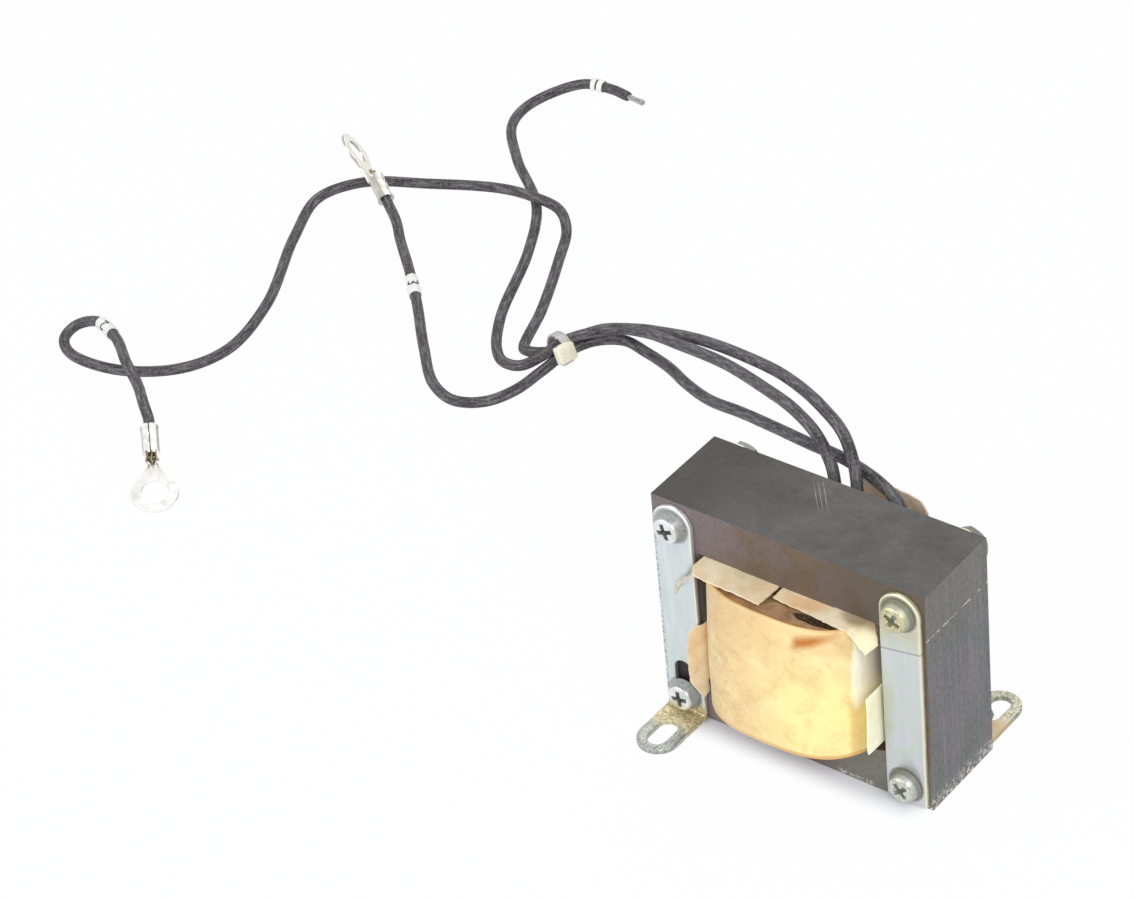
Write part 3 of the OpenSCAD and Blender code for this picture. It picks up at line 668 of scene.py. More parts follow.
def fastenerFinish():  # plated screws and nuts: painted shade on the head walls, round the heads and in the recesses, yellower on the right, with painted glints
    finish = Finish("fastenerSteel")
    x, y, z = finish.axes()
    cloud, speck = finish.grain(2.4, 4, 0.65), finish.grain(0.5, 3, 0.7)
    right, ahead = x.band(-5, 5), y.band(-8, -11)
    fromAxis = fromClamp(x, z)
    colour = cloud.ramp((0.3, 210, 214, 214), (0.55, 232, 235, 235), (0.75, 246, 248, 248))
    worn = z.band(20, 35).between((200, 203, 193), (206, 200, 152))
    colour = colour.tint(right * (cloud + speck * 0.4).band(0.4, 0.75, 0.35, 0.9), worn)
    colour = colour.tint(right * ahead * speck.band(0.5, 0.62) * 0.5, (116, 112, 90))
    # painted glints on the right heads
    colour = colour.tint(right * ahead * speck.band(0.44, 0.34) * 0.6, (248, 246, 236))
    # painted shade on the side walls of the heads
    wall = fromAxis.band(2.75, 3.05) * right.band(0.0, 1.0, 0.85, 0.4) * ahead
    colour = colour.tint(wall, speck.band(0.35, 0.65).between((112, 116, 114), (162, 166, 162)))
    # painted shade round the foot of the right heads
    foot = fromAxis.band(3.2, 3.5) * right * ahead
    colour = colour.tint(foot * 0.7, (92, 96, 84))
    deep = abs(y).band(14.72, 14.5) * fromAxis.band(2.8, 2.6) * ahead  # painted shade in the recess
    colour = colour.tint(deep * right.band(0.0, 1.0, 0.85, 0.5), (90, 90, 86))
    nut = y.band(5, 9)
    colour = colour.tint(nut * 0.9, (118, 118, 116))
    return finish.feed(Base_Color=colour, Roughness=right.band(0.0, 1.0, 0.28, 0.42),
                       Metallic=wall.over(nut).over(deep).over(foot).band(0.0, 1.0, 0.85, 0.25),
                       Normal=speck.relief(0.03, 0.7))


def leadFinish():  # black lead cover, dusty, with pale streaks along it that are a painted sheen
    finish = Finish("leadCover", {"Specular IOR Level": 0.35})
    onLead = finish.node("ShaderNodeUVMap", {"uv_map": "leadMap"})
    rub = finish.grain(0.7, 4, 0.7, stretch=(1, 0.12, 1), point=onLead)
    dust = finish.grain(0.5, 4, 0.7, stretch=(1, 0.7, 1), point=onLead)
    cloud = finish.grain(9, 3, 0.5)
    # painted sheen: the pale streaks along the lead
    colour = rub.ramp((0.36, 26, 24, 27), (0.5, 70, 68, 71), (0.64, 124, 122, 126))
    colour = colour.tint(dust.band(0.48, 0.66) * 0.65, (140, 137, 140))
    colour = colour.tint(cloud.band(0.5, 0.7) * 0.3, (82, 78, 74))
    return finish.feed(Base_Color=colour, Roughness=dust.band(0.3, 0.7, 0.5, 0.78),
                       Normal=dust.relief(0.04, 0.7, rub.relief(0.05, 0.6)))


def strandFinish():  # dull tinned strands, browner in the terminals than at the bare end
    finish = Finish("tinnedStrands", {"Metallic": 0.6})
    y = finish.axes()[1]
    cloud = finish.grain(0.9, 4, 0.7)
    colour = cloud.ramp((0.3, 112, 98, 66), (0.5, 148, 136, 104), (0.7, 190, 182, 158))
    bare = cloud.ramp((0.3, 142, 138, 132), (0.5, 172, 170, 166), (0.7, 204, 203, 200))
    return finish.feed(Base_Color=colour.tint(y.band(130, 160), bare),
                       Roughness=cloud.band(0.3, 0.7, 0.35, 0.55))


def terminalFinish():  # bright tin over brass, rubbed at the crimps, with painted shade along the edges
    finish = Finish("tinnedBrass", {"Metallic": 1.0})
    cloud, speck = finish.grain(3, 4, 0.6, warp=0.4), finish.grain(0.4, 3, 0.7)
    colour = cloud.ramp((0.28, 226, 223, 213), (0.5, 242, 241, 237), (0.7, 252, 252, 250))
    colour = colour.tint(speck.band(0.6, 0.75) * 0.3, (190, 178, 146))
    far = finish.axes()[1].band(50, 80)  # the far one is duller
    colour = colour.tint(far * 0.35, (216, 206, 184))
    nx, ny, nz = finish.facing()
    # painted shade: dark edges along the sides of the near terminal and round the outline of the far one
    beside = abs(nx * 0.76 + ny * 0.65).band(0.72, 0.96)
    rim = abs(nx * 0.6 + ny * 0.594 + nz * 0.535).band(0.6, 0.25)
    edge = finish.node("ShaderNodeMix", {"data_type": "FLOAT"}, {0: far, 2: beside, 3: rim})
    colour = colour.tint(edge * far.band(0.0, 1.0, 0.75, 0.5), (118, 115, 120))
    return finish.feed(Base_Color=colour, Roughness=cloud.band(0.3, 0.7, 0.16, 0.36),
                       Normal=speck.relief(0.01, 0.5))


def plasticFinish(name, light, dark):  # ivory sleeve and tie plastic
    finish = Finish(name, {"Specular IOR Level": 0.5, "Subsurface Weight": 0.15, "Subsurface Scale": 0.001})
    cloud, fine = finish.grain(2.6, 3, 0.6), finish.grain(0.35, 3, 0.6)
    colour = cloud.ramp((0.3, *dark), (0.65, *light))
    return finish.feed(Base_Color=colour, Roughness=cloud.band(0.3, 0.7, 0.3, 0.5),
                       Normal=fine.relief(0.01, 0.5))


def inkFinish():  # worn print
    finish = Finish("markerInk", {"Roughness": 0.6})
    worn = finish.grain(0.4, 3, 0.7)
    return finish.feed(Base_Color=worn.ramp((0.4, 46, 44, 48), (0.72, 120, 116, 112)))


coreSteel, gapPaper, coilPaper, windingVarnish = steelFinish(), gapFinish(), coilFinish(), windingFinish()
collarMarksAndShade = [((5.5, -13.4, 43.7), (5.5, 2.2, 3), (236, 186, 130), 0.55),
               # painted shade at the right end of the right collar, by the core
               ((17.5, -10.6, 43.7), (5.5, 3.6, 3), (158, 138, 112), 0.8),
               ((-9, -12, 43.7), (4, 1.6, 3), (206, 200, 164), 0.5),
               ((20.5, -14.5, 41), (2.6, 3, 3), (255, 248, 204), 0.8)]
collarPaper = paperFinish("collarPaper", (251, 239, 211), (246, 226, 190), (238, 209, 167), (218, 186, 142),
                          collarMarksAndShade)
linerPaper = paperFinish("linerPaper", (255, 255, 230), (255, 252, 220), (252, 242, 200), (242, 228, 184))
flapPaper = paperFinish("flapPaper", (252, 235, 200), (245, 221, 180), (234, 204, 160), (211, 177, 130))
shieldPaper = paperFinish("shieldPaper", (252, 238, 220), (242, 224, 204), (228, 206, 184), (202, 176, 152))
tubePaper = paperFinish("tubePaper", (92, 76, 54), (72, 58, 40), (56, 44, 30), (44, 34, 24))
scrapPaper = paperFinish("scrapPaper", (232, 226, 212), (208, 200, 184), (182, 172, 154), (142, 132, 114))
zincSteel, fastenerSteel, leadCover = zincFinish(), fastenerFinish(), leadFinish()
tinnedStrands, tinnedBrass, markerInk = strandFinish(), terminalFinish(), inkFinish()
markerPlastic = plasticFinish("markerPlastic", (252, 251, 247), (240, 237, 228))
tiePlastic = plasticFinish("tiePlastic", (253, 249, 230), (232, 224, 198))
tieBand = plasticFinish("tieBand", (206, 201, 198), (176, 171, 168))
print("finishes made")


# the three leads, on the same routes as their solids

leads = {
    "lead_1": {"marker": (21, 8.0, "3", -1), "roll": 55, "route": [
        (9, 17.5, 42.5), (9, 17.5, 46.5), (7, 18.2, 49.5), (1.5, 20, 51), (-10, 24.5, 49.5),
        (-22, 29.5, 45.5), (-37, 38, 38.5), (-54, 48.5, 29.5), (-71, 59, 20), (-85, 69, 13),
        (-96, 77, 8.5), (-107, 83, 5), (-116, 85.5, 3.8), (-122, 82, 3.5), (-124.9, 74.5, 3.5),
        (-126.3, 68.1, 2.4), (-128.1, 59.1, 1.4), (-131.6, 52, 1.4), (-137.9, 48.8, 1.4),
        (-145.9, 51.3, 1.4), (-157.5, 62, 1.4), (-169.2, 74.3, 1.6), (-180.4, 85.1, 2.2),
        (-189.2, 92.9, 2.8), (-195, 98.4, 3.8), (-200.3, 101.6, 6.2)]},
    "lead_2": {"marker": (33, 7.5, "2", -1), "roll": 0, "route": [
        (-2.5, 18, 42.5), (-2.5, 18, 48), (-4, 19.5, 53), (-9, 23.5, 56.5), (-19, 30, 56),
        (-36, 41.5, 50), (-57, 55, 39.5), (-80, 69, 27), (-100, 80.5, 14.9), (-114, 87, 6.9),
        (-123, 86.5, 3.8), (-126.6, 80.5, 3.5), (-128, 74.3, 3.4), (-130.8, 72, 3.3), (-134.1, 72, 2.6),
        (-136.8, 74, 1.5), (-142, 87.7, 1.6), (-151.3, 106.9, 1.4), (-157.2, 118.1, 2.3),
        (-162.6, 122.4, 3.7), (-171.4, 123.2, 4.2), (-183.2, 123.7, 2.6), (-200.8, 117.8, 1.5),
        (-215.1, 110.2, 1.6), (-220.7, 99.7, 1.5), (-214.8, 82.6, 1.5), (-201.6, 55.9, 1.5),
        (-197.9, 37.2, 1.4), (-202.6, 25.8, 1.4), (-215.4, 17.6, 1.4), (-228.5, 15.7, 2.5),
        (-234, 19.5, 2.9), (-234.1, 24, 3.8), (-230.4, 26.7, 4.7), (-220.2, 22.9, 6.2),
        (-207.5, 13.5, 8.8), (-196.6, 5.9, 10.8), (-190.7, 1.1, 11.2), (-186.95, -1.62, 9.74),
        (-185.4, -3.3, 9)]},
    "lead_3": {"marker": (22, 4.5, "1", 1), "roll": None, "route": [
        (-8, 18, 42.5), (-8, 18, 48), (-9.5, 19, 52), (-14.5, 22, 55), (-24, 28, 54), (-41.5, 40, 46.5),
        (-63, 55, 35.5), (-86, 69, 23.5), (-105, 80, 13.4), (-116.3, 83.1, 8.3), (-122.9, 80.3, 6.3),
        (-126.2, 75, 5.9), (-127.6, 70, 4.9), (-131.2, 66.1, 3.1), (-136.5, 66.1, 2.1),
        (-142, 70.3, 1.4), (-149.2, 81.2, 1.5), (-160.1, 106.3, 1.5), (-170.9, 123.8, 1.4),
        (-188, 138.2, 1.4), (-199.1, 150.9, 1.4), (-200.6, 161.8, 1.4), (-194.2, 174.4, 1.8),
        (-186.4, 176, 1.8), (-180.5, 175.5, 1.6)]}}
leadSize = {"across": 2.6, "sides": 20, "spacing": 0.9, "lump": 0.012, "nipped": 0.93}


def leadTube(name, line):
    radius, sides = leadSize["across"] / 2, leadSize["sides"]
    bm = bmesh.new()
    layer = bm.loops.layers.uv.new("leadMap")
    rows, run, last = [], [0.0], len(line) - 1
    for i, (p, side, up, _) in enumerate(frames(line)):
        here = []
        for turn in turns(sides):
            out = side * math.cos(turn) + up * math.sin(turn)
            lump = leadSize["lump"] * noise.noise((p + out * 2) * 0.8)
            cut = leadSize["nipped"] if i in (0, last) else 1.0  # where the cover was cut
            here.append(bm.verts.new(p + out * (radius * cut + lump)))
        rows.append(here)
        if i:
            run.append(run[-1] + (p - line[i - 1]).length)
    for i in range(last):
        for k in range(sides):
            j = (k + 1) % sides
            face = bm.faces.new((rows[i][k], rows[i][j], rows[i + 1][j], rows[i + 1][k]))
            for loop, (u, v) in zip(face.loops, ((k, i), (k + 1, i), (k + 1, i + 1), (k, i + 1))):
                loop[layer].uv = (u / sides * math.pi * 2 * radius * mm, run[v] * mm)
    bm.faces.new(rows[0][::-1])
    bm.faces.new(rows[-1])
    return asMesh(name, bm, 0.0001)


def endFrame(route, roll=0):  # X along the lead's end, as its terminal lies
    tip, before = Vector(route[-1]), Vector(route[-2])
    d = (tip - before).normalized()
    return (Matrix.Translation(tip) @ Matrix.Rotation(math.atan2(d.y, d.x), 4, "Z")
            @ Matrix.Rotation(-math.asin(d.z), 4, "Y") @ Matrix.Rotation(math.radians(roll), 4, "X"))


strandSize = {"strands": 7, "bundle": 1.5, "pitch": 11.0, "start": 1.0, "inTerminal": (9.3, 2.2),
              "bare": (5.0, 0.25)}


def strandTree():  # strands twisted round one another along X
    tree = NodeMaker("strandBundle", {
        "Strands": "Int", "Strand Radius": "Float", "Bundle Radius": "Float", "Length": "Float",
        "Turns": "Float", "Splay": "Float", "Finish": "Material"})
    g = tree.given
    line = tree.node("GeometryNodeCurvePrimitiveLine", sockets={"End": tree.vector(X=g["Length"])})
    line = tree.node("GeometryNodeResampleCurve", sockets={"Curve": line, "Count": 26})
    many = tree.node("GeometryNodeDuplicateElements", {"domain": "SPLINE"},
                     {"Geometry": line, "Amount": g["Strands"]})
    index = tree.outs(many)["Duplicate Index"]
    along = tree.node("GeometryNodeSplineParameter", out="Factor")
    turn = (index / (g["Strands"] - 1) + along * g["Turns"]) * (2 * math.pi)
    off = index.below(g["Strands"] - 1.5) * g["Bundle Radius"]  # the last one stays in the middle
    fan = along * along * along * g["Splay"] + 1  # they splay towards the end
    place = tree.vector(Y=off * fan * turn.cosine(), Z=off * turn.sine())
    laid = tree.node("GeometryNodeSetPosition", sockets={"Geometry": many, "Offset": place})
    ring = tree.node("GeometryNodeCurvePrimitiveCircle", sockets={
        "Resolution": 10, "Radius": g["Strand Radius"]})
    return tree.close(tree.node("GeometryNodeCurveToMesh", sockets={
        "Curve": laid, "Profile Curve": ring, "Fill Caps": True}))


def strandEnd(name, tree, route, roll, length, splay):
    thin, start = strandSize["bundle"] / 6, strandSize["start"]
    mesh = tree.run(bpy.data.meshes.new(name), {
        "Strands": strandSize["strands"], "Strand Radius": thin * mm, "Bundle Radius": thin * 2 * mm * 0.92,
        "Length": (length + start) * mm, "Turns": length / strandSize["pitch"] / (1 + splay), "Splay": splay,
        "Finish": tinnedStrands})
    world = endFrame(route, roll)
    world.translation = world.translation * mm
    mesh.transform(world @ Matrix.Translation((-start * mm, 0, 0)))
    return makePiece(name, mesh, [tinnedStrands], "bare_copper", "bare_conductors", smooth=60)


terminalSize = {"barrel": 4.2, "bore": 2.1, "barrelLength": 7.5, "sheet": 0.8, "ringX": 17.0, "ring": 11.0,
                "hole": 6.4, "seam": 94, "wrapped": 352, "lip": 0.18, "nip": 0.22, "nips": (2.2, 5.2),
                "row": 0.3, "trough": 2.6, "neck": [(6.5, 1.2), (9.9, 1.5)], "neckTurn": 147.3}


def ringTerminal(name, route, roll, node):
    s = terminalSize
    outer, sheet, long, row = s["barrel"] / 2, s["sheet"], s["barrelLength"], s["row"]
    around = [math.radians(s["seam"] + a) for a in steps(0, s["wrapped"], s["wrapped"] / 28)]
    rings = []
    for x in steps(0, long, row):  # rolled barrel, from one lip of the seam round to the other
        bell = 0.16 * math.exp(-(x / 0.5) ** 2) + 0.08 * math.exp(-((long - x) / 0.4) ** 2)
        nip = s["nip"] * sum(math.exp(-((x - at) / 0.6) ** 2) for at in s["nips"])
        radii = [outer + bell - nip * max(0, math.sin(turn)) - 0.1 for turn in around]
        for lip in (0, -1):
            radii[lip] -= s["lip"]
        outside = [(x, *polar(r, turn)) for r, turn in zip(radii, around)]
        rings.append(outside + [(x, *polar(s["bore"] / 2, turn)) for turn in around[::-1]])
    trough = []
    for x in steps(long - row, long + s["trough"], row):  # it opens out into the tongue
        spread = 78 * (1 - (x - long + row) / (s["trough"] + row)) ** 1.3 + 12
        arc = [math.radians(270 + a) for a in steps(-spread, spread, spread / 6)]
        ring = [(x, *polar(outer - 0.05, turn)) for turn in arc]
        trough.append(ring + [(x, *polar(outer - sheet, turn)) for turn in arc[::-1]])
    outline = [(x, -y) for x, y in s["neck"]]
    outline += circle(s["ringX"], 0, s["ring"] / 2, 44, -s["neckTurn"], s["neckTurn"]) + s["neck"][::-1]
    tongue = cutSheet([outline, circle(s["ringX"], 0, s["hole"] / 2, 36)], sheet, 0.16, 2)
    moved(tongue, Matrix.Translation((0, 0, -outer + sheet / 2)))
    bm = moved(joined(loft(rings), loft(trough), tongue), endFrame(route, roll))
    return makePiece(name, bm, [tinnedBrass], "tinned_brass", node, smooth=42)


markerSize = {"across": 3.3, "wall": 0.27, "bevel": 0.07, "sides": 28, "digit": 4.3, "bold": 0.05,
              "reach": 1.8}


def digitShape(text):  # a plain digit as a flat mesh, centred
    curve = bpy.data.curves.new("digit", "FONT")
    curve.body, curve.size, curve.align_x, curve.align_y = text, markerSize["digit"], "CENTER", "CENTER"
    curve.resolution_u, curve.offset = 3, markerSize["bold"]
    return curveShape(curve)


def markerSleeve(name, line, run, centre, length, text, reads, node):  # reads is 1 along the lead, -1 back
    outer, wall, reach = markerSize["across"] / 2, markerSize["wall"], markerSize["reach"]
    spots = [spot for spot, d in zip(frames(line), run) if abs(d - centre) <= length / 2 + 0.01]

    def ring(spot, radius):
        p, side, up, _ = spot
        return [p + (side * math.cos(turn) + up * math.sin(turn)) * radius
                for turn in turns(markerSize["sides"])]

    ends = (0, len(spots) - 1)
    rings = [ring(spot, outer - (markerSize["bevel"] if i in ends else 0.0)) for i, spot in enumerate(spots)]
    rings += [ring(spot, outer - wall + 0.01) for spot in spots[::-1]]
    sleeve = loft(rings, closed=True)
    bmesh.ops.recalc_face_normals(sleeve, faces=sleeve.faces)
    digit = scored(digitShape(text), (0, 1, 0), steps(-reach, reach, 0.12))
    scored(digit, (1, 0, 0), steps(-reach, reach, 0.3))
    for v in digit.verts:  # wrapped round the sleeve, on the side that the camera sees
        at = len(spots) // 2 + reads * v.co.x / (run[1] - run[0])
        low = min(max(int(at), 0), len(spots) - 2)
        p, along = (spots[low][i].lerp(spots[low + 1][i], at - low) for i in (0, 3))
        face = Vector(shot["place"]) / mm - p
        outward = (face - along * face.dot(along)).normalized()
        turn = -reads * v.co.y / outer
        v.co = p + (outward * math.cos(turn) + along.cross(outward) * math.sin(turn)) * (outer + 0.03)
    bmesh.ops.recalc_face_normals(digit, faces=digit.faces)
    if sum(f.normal.dot(outward) for f in digit.faces) < 0:
        bmesh.ops.reverse_faces(digit, faces=digit.faces)
    mesh = toMesh(name, joined(sleeve, marked(digit, 1)))
    return makePiece(name, mesh, [markerPlastic, markerInk], "marker_plastic", node, smooth=50)


tieSize = {"centre": (-126.2, 75, 4.3), "heading": (-0.25, -0.97, 0), "inner": 3.3, "thick": 0.9,
           "width": 2.4, "head": (4.8, 2.6, 4.2), "headEdge": (0.6, 3), "tail": (2.4, 0.9, 0.4),
           "tailEdge": (0.12, 2), "shift": 1.9, "turn": 22, "ribs": 96, "rib": 0.05}


def cableTie():
    s = tieSize
    d = Vector(s["heading"]).normalized()
    place = Matrix.Translation(s["centre"]) @ Matrix.Rotation(math.atan2(d.y, d.x), 4, "Z")
    half, inside = s["width"] / 2, s["inner"] + 0.1
    rings = []
    for k, turn in enumerate(turns(s["ribs"])):  # band with its teeth as fine ribs outside
        outside = s["inner"] + s["thick"] - 0.1 - s["rib"] * (k % 2)
        section = [(half - 0.2, inside), (half, inside + 0.2), (half, outside - 0.25), (half - 0.25, outside)]
        section += [(-x, r) for x, r in section[::-1]]
        rings.append([(x, *polar(r, turn)) for x, r in section])
    band = loft(rings, closed=True)
    out, high = s["inner"] + s["head"][1] / 2, s["head"][2] / 2 + 0.1
    blocks = []
    for part, up in (("head", 0), ("tail", high)):  # the tail is cut off close to the head
        bm = block(Matrix.Translation((s["shift"], out, up)) @ Matrix.Diagonal(s[part] + (1,)))
        edge, segments = s[part + "Edge"]
        bmesh.ops.bevel(bm, geom=bm.edges[:], offset=edge, segments=segments, affect="EDGES", profile=0.6)
        blocks.append(bm)
    head = moved(joined(*blocks), Matrix.Rotation(math.radians(s["turn"]), 4, "X"))
    bm = moved(joined(marked(band, 1), head), place)
    return makePiece("cableTie", bm, [tiePlastic, tieBand], "tie_plastic", "cable_tie", smooth=45)


def layLeads():
    tree = strandTree()
    tie = cableTie()
    for number, (node, facts) in enumerate(leads.items(), 1):
        route, roll = facts["route"], facts["roll"]
        line, length = smoothRoute(route, leadSize["spacing"])
        tube = leadTube(node, line)
        piece = makePiece(f"lead{number}", tube, [leadCover], "lead_insulation", node, smooth=60)
        run = [length * i / (len(line) - 1) for i in range(len(line))]
        span, long, text, reads = facts["marker"]
        centre = (Vector(route[span]) + Vector(route[span + 1])) / 2
        at = min(range(len(line)), key=lambda i: (line[i] - centre).length)
        ends = [markerSleeve(f"markerSleeve{number}", line, run, run[at], long, text, reads,
                             f"marker_sleeve_{number}")]
        inTerminal = roll is not None
        bare = strandSize["inTerminal" if inTerminal else "bare"]
        ends.append(strandEnd(f"strandEnd{number}", tree, route, roll or 0, *bare))
        if inTerminal:
            ends.append(ringTerminal(f"ringTerminal{number}", route, roll, f"ring_terminal_{number}"))
        else:
            ends.append(tie)
        print("lead", number, "length", round(length, 1))


layLeads()


# core: thin plates stacked front to back

def stackTree():  # plates set one behind the other, each a little out of line
    tree = NodeMaker("plateStack", {"Plate": "Object", "Count": "Int", "Pitch": "Float", "Start": "Float",
                                    "Slip": "Float", "Lift": "Float", "Seed": "Int", "Finish": "Material"})
    g = tree.given
    row = tree.node("GeometryNodeMeshLine", {"mode": "OFFSET"}, {
        "Count": g["Count"], "Start Location": tree.vector(Y=g["Start"]),
        "Offset": tree.vector(Y=g["Pitch"])})
    slip = tree.node("FunctionNodeRandomValue", {"data_type": "FLOAT_VECTOR"}, {
        0: tree.vector(X=g["Slip"] * -1.0), 1: tree.vector(X=g["Slip"], Z=g["Lift"]), "Seed": g["Seed"]})
    row = tree.node("GeometryNodeSetPosition", sockets={"Geometry": row, "Offset": slip})
    plate = tree.node("GeometryNodeObjectInfo", sockets={"Object": g["Plate"]}, out="Geometry")
    many = tree.node("GeometryNodeInstanceOnPoints", sockets={"Points": row, "Instance": plate})
    tone = tree.node("FunctionNodeRandomValue", {"data_type": "FLOAT"}, {
        2: 0.0, 3: 1.0, "Seed": g["Seed"] + 7}, out=1)
    stored = {"data_type": "FLOAT", "domain": "INSTANCE"}
    return tree.close(tree.node("GeometryNodeStoreNamedAttribute", stored, {
        "Geometry": many, "Name": "plateTone", "Value": tone}))


def plateStack(tree, name, outline, holeZ, lift, node):
    pitch = core["depth"] / core["plates"]
    holes = [circle(x, holeZ, core["hole"] / 2, 24) for x in (-holeX, holeX)]
    bm = cutSheet([outline] + holes, pitch - core["between"], core["edge"])
    plate = placed("plate", asMesh("plate", moved(bm, Matrix.Rotation(math.radians(90), 4, "X"))))
    mesh = tree.run(bpy.data.meshes.new(name), {
        "Plate": plate, "Count": core["plates"], "Pitch": pitch * mm, "Start": (frontY + pitch / 2) * mm,
        "Slip": core["slip"] * mm, "Lift": lift * mm, "Seed": core["seed"], "Finish": coreSteel})
    bpy.data.objects.remove(plate)
    makePiece(name, mesh, [coreSteel], "core_steel", node, smooth=15)


def buildCore():
    tree = stackTree()
    w, leg, yoke = coreHalf, core["leg"], core["yoke"]
    e = [(-w, 0), (w, 0), (w, legTop), (w - leg, legTop), (w - leg, yoke), (leg, yoke), (leg, legTop),
         (-leg, legTop), (-leg, yoke), (leg - w, yoke), (leg - w, legTop), (-w, legTop)]
    bar = [(-w, barLow), (w, barLow), (w, coreTop), (-w, coreTop)]
    plateStack(tree, "ePlates", e, holeLow, 0.0, "core_e_stack")
    plateStack(tree, "iPlates", bar, holeHigh, core["lift"], "core_i_stack")
    cadNodes["gap_paper"].data.materials[0] = gapPaper


buildCore()
print("core stacked")


# coil: wrap of layered paper, and the varnished end of the winding

coil = {"x": 20.6, "y": 22.84, "innerX": 19.8, "innerY": 19.74, "low": 11.5, "high": 43.4, "lossTop": 2.3,
        "lossLow": 0.4, "power": 3.0, "around": 280, "row": 0.75, "round": 0.55, "crease": 0.16, "layers": 4,
        "fold": 0.11, "foldAt": (118, 119.5)}


def partWay(outer, inner, v):  # flat places v of the way from one ring to another
    return [(xo + (xi - xo) * v, yo + (yi - yo) * v) for (xo, yo, _), (xi, yi, _) in zip(outer, inner)]


def coilWrap():
    c, n = coil, coil["around"]
    rings, bendZ = [], c["high"] - c["round"]
    rows = [(z, 0.0) for z in steps(c["low"], bendZ, c["row"])]
    rows += [(bendZ + c["round"] * math.sin(a), c["round"] * (1 - math.cos(a)))
             for a in steps(0.25, math.pi / 2, 0.25)]
    for z, inset in rows:  # the top edge is rounded over
        u = (z - c["low"]) / (c["high"] - c["low"])
        swell = c["y"] - c["lossLow"] * (1 - u) ** 2 - c["lossTop"] * u ** 2
        ring = []
        for turn in turns(n):
            x, y = ovalPoint(turn, c["x"] - inset, swell - inset, c["power"])
            p = Vector((x, y, z))
            wave = noise.noise(p * 0.11) * 0.5 + noise.noise(p * 0.35) * 0.28
            wave += noise.noise(Vector((x, y, z * 0.3)) * 0.8) * 0.14
            shift = c["crease"] * (wave - 0.35) * min(1.0, u * 8, (1 - u) * 8)
            if c["foldAt"][0] < math.degrees(turn) < c["foldAt"][1]:  # outer end of the wrap, at the back
                shift += c["fold"]
            ring.append(p + Vector((x, y, 0)).normalized() * shift)
        rings.append(ring)
    top, bottom = [], []
    bore = oval(c["innerX"], c["innerY"], c["power"], 0, n)
    rimTop = oval(c["x"] - c["round"], c["y"] - c["lossTop"] - c["round"], c["power"], 0, n)
    rimLow = oval(c["x"], c["y"] - c["lossLow"], c["power"], 0, n)
    for i in range(1, c["layers"] * 3 + 1):  # paper layers show as steps on both rims
        v, layer, edge = i / (c["layers"] * 3), (i - 1) // 3, 0.1 if i % 3 == 0 else 0
        upper, lower = partWay(rimTop, bore, v), partWay(rimLow, bore, v)
        dips = [0.13 * (noise.noise(Vector((x * 0.25, y * 0.25, layer * 5.1))) - 0.6) - edge
                for x, y in upper]
        top.append([(x, y, c["high"] + dip) for (x, y), dip in zip(upper, dips)])
        bottom.append([(x, y, c["low"] - 0.3 * dip + 0.02) for (x, y), dip in zip(lower, dips)])
    wall = [[(x, y, z) for x, y, _ in bore] for z in steps(c["high"] - 0.6, c["low"] + 0.6, -1.5)]
    bm = loft(rings + top + wall + bottom[::-1], closed=True)
    makePiece("coilWrap", bm, [coilPaper], "coil_paper", "coil_wrap", smooth=50)


winding = {"low": 12.4, "middle": 30, "x": 16.45, "y": 16.52, "power": 5.0, "around": 200,
           "flood": 43.0, "ripple": 0.3, "skinX": 14.6, "skinY": 14.9, "skinZ": 42.58,
           "slot": (9.4, -15.9, 4.4, 0.9), "sink": 0.35}


def windingEnd():  # flooded with varnish almost to the wrap's rim
    w, n = winding, winding["around"]
    slotX, slotY, slotLong, slotWide = w["slot"]
    outer = oval(coil["innerX"] - 0.1, coil["innerY"] - 0.1, coil["power"], w["middle"], n)
    skin = oval(w["skinX"], w["skinY"], w["power"], w["skinZ"], n)
    rows = []
    for v in steps(0, 1, 1 / 16):
        ring = []
        for x, y in partWay(outer, skin, v):
            wave = w["ripple"] * (noise.noise(Vector((x * 0.35, y * 0.35, 3))) - 0.1)
            z = w["flood"] + wave + 0.1 * noise.noise(Vector((x, y, 8)))
            sink = math.exp(-((x - slotX) / slotLong) ** 4 - ((y - slotY) / slotWide) ** 2)
            ring.append((x, y, min(z, w["flood"] + w["ripple"]) - w["sink"] * sink))
        rows.append(ring)
    inner = [oval(w["x"], w["y"], w["power"], z, n) for z in (w["skinZ"], w["middle"], w["low"])]
    bm = loft(rows + [skin] + inner + [[(x, y, w["low"]) for x, y, _ in outer], outer], closed=True)
    makePiece("outerWinding", bm, [windingVarnish], "magnet_wire", "outer_winding", smooth=60)
    cadNodes["inner_winding"].data.materials[0] = windingVarnish
    for node in ("coil_tube", "winding_insulation"):
        cadNodes[node].data.materials[0] = tubePaper


coilWrap()
windingEnd()
print("coil wound")


# papers: collars, liners and the lead shield

papers = {"thick": 0.4, "edge": 0.06, "grid": 1.1, "wobble": 0.16}


def paperBlank(outline, seed, wobble=papers["wobble"], grid=papers["grid"], still=0.0):
    bm = cutSheet([handCut(outline, wobble, seed, still)], papers["thick"], papers["edge"])
    for axis in (0, 1):
        span = [p[axis] for p in outline]
        scored(bm, (1 - axis, axis, 0), steps(min(span), max(span), grid)[1:-1])
    bmesh.ops.triangulate(bm, faces=bm.faces[:])
    return bm


def paperPiece(name, bm, paper, *stands):
    makePiece(name, bm, [paper], "collar_paper", *stands)


collar = {"z": 43.5, "face": 11.22, "slotX": 11.22, "armX": 20.5, "x": 21.8, "back": 4.5, "trim": 1.1,
          "leftArm": (2.05, 7.3), "leftCorner": [(20.7, -15.1), (19.4, -17.3), (18.2, -17.6)],
          "rightArm": (-1.15, 3.6), "foldFrom": (16.54, -16.11), "foldTo": (19.39, -11.28), "foldRadius": 0.8,
          "foldLean": 62, "tab": [(6.65, 0), (6.65, 0.6), (6.3, 5.14), (3.1, 6.3), (0.15, 0.1)]}


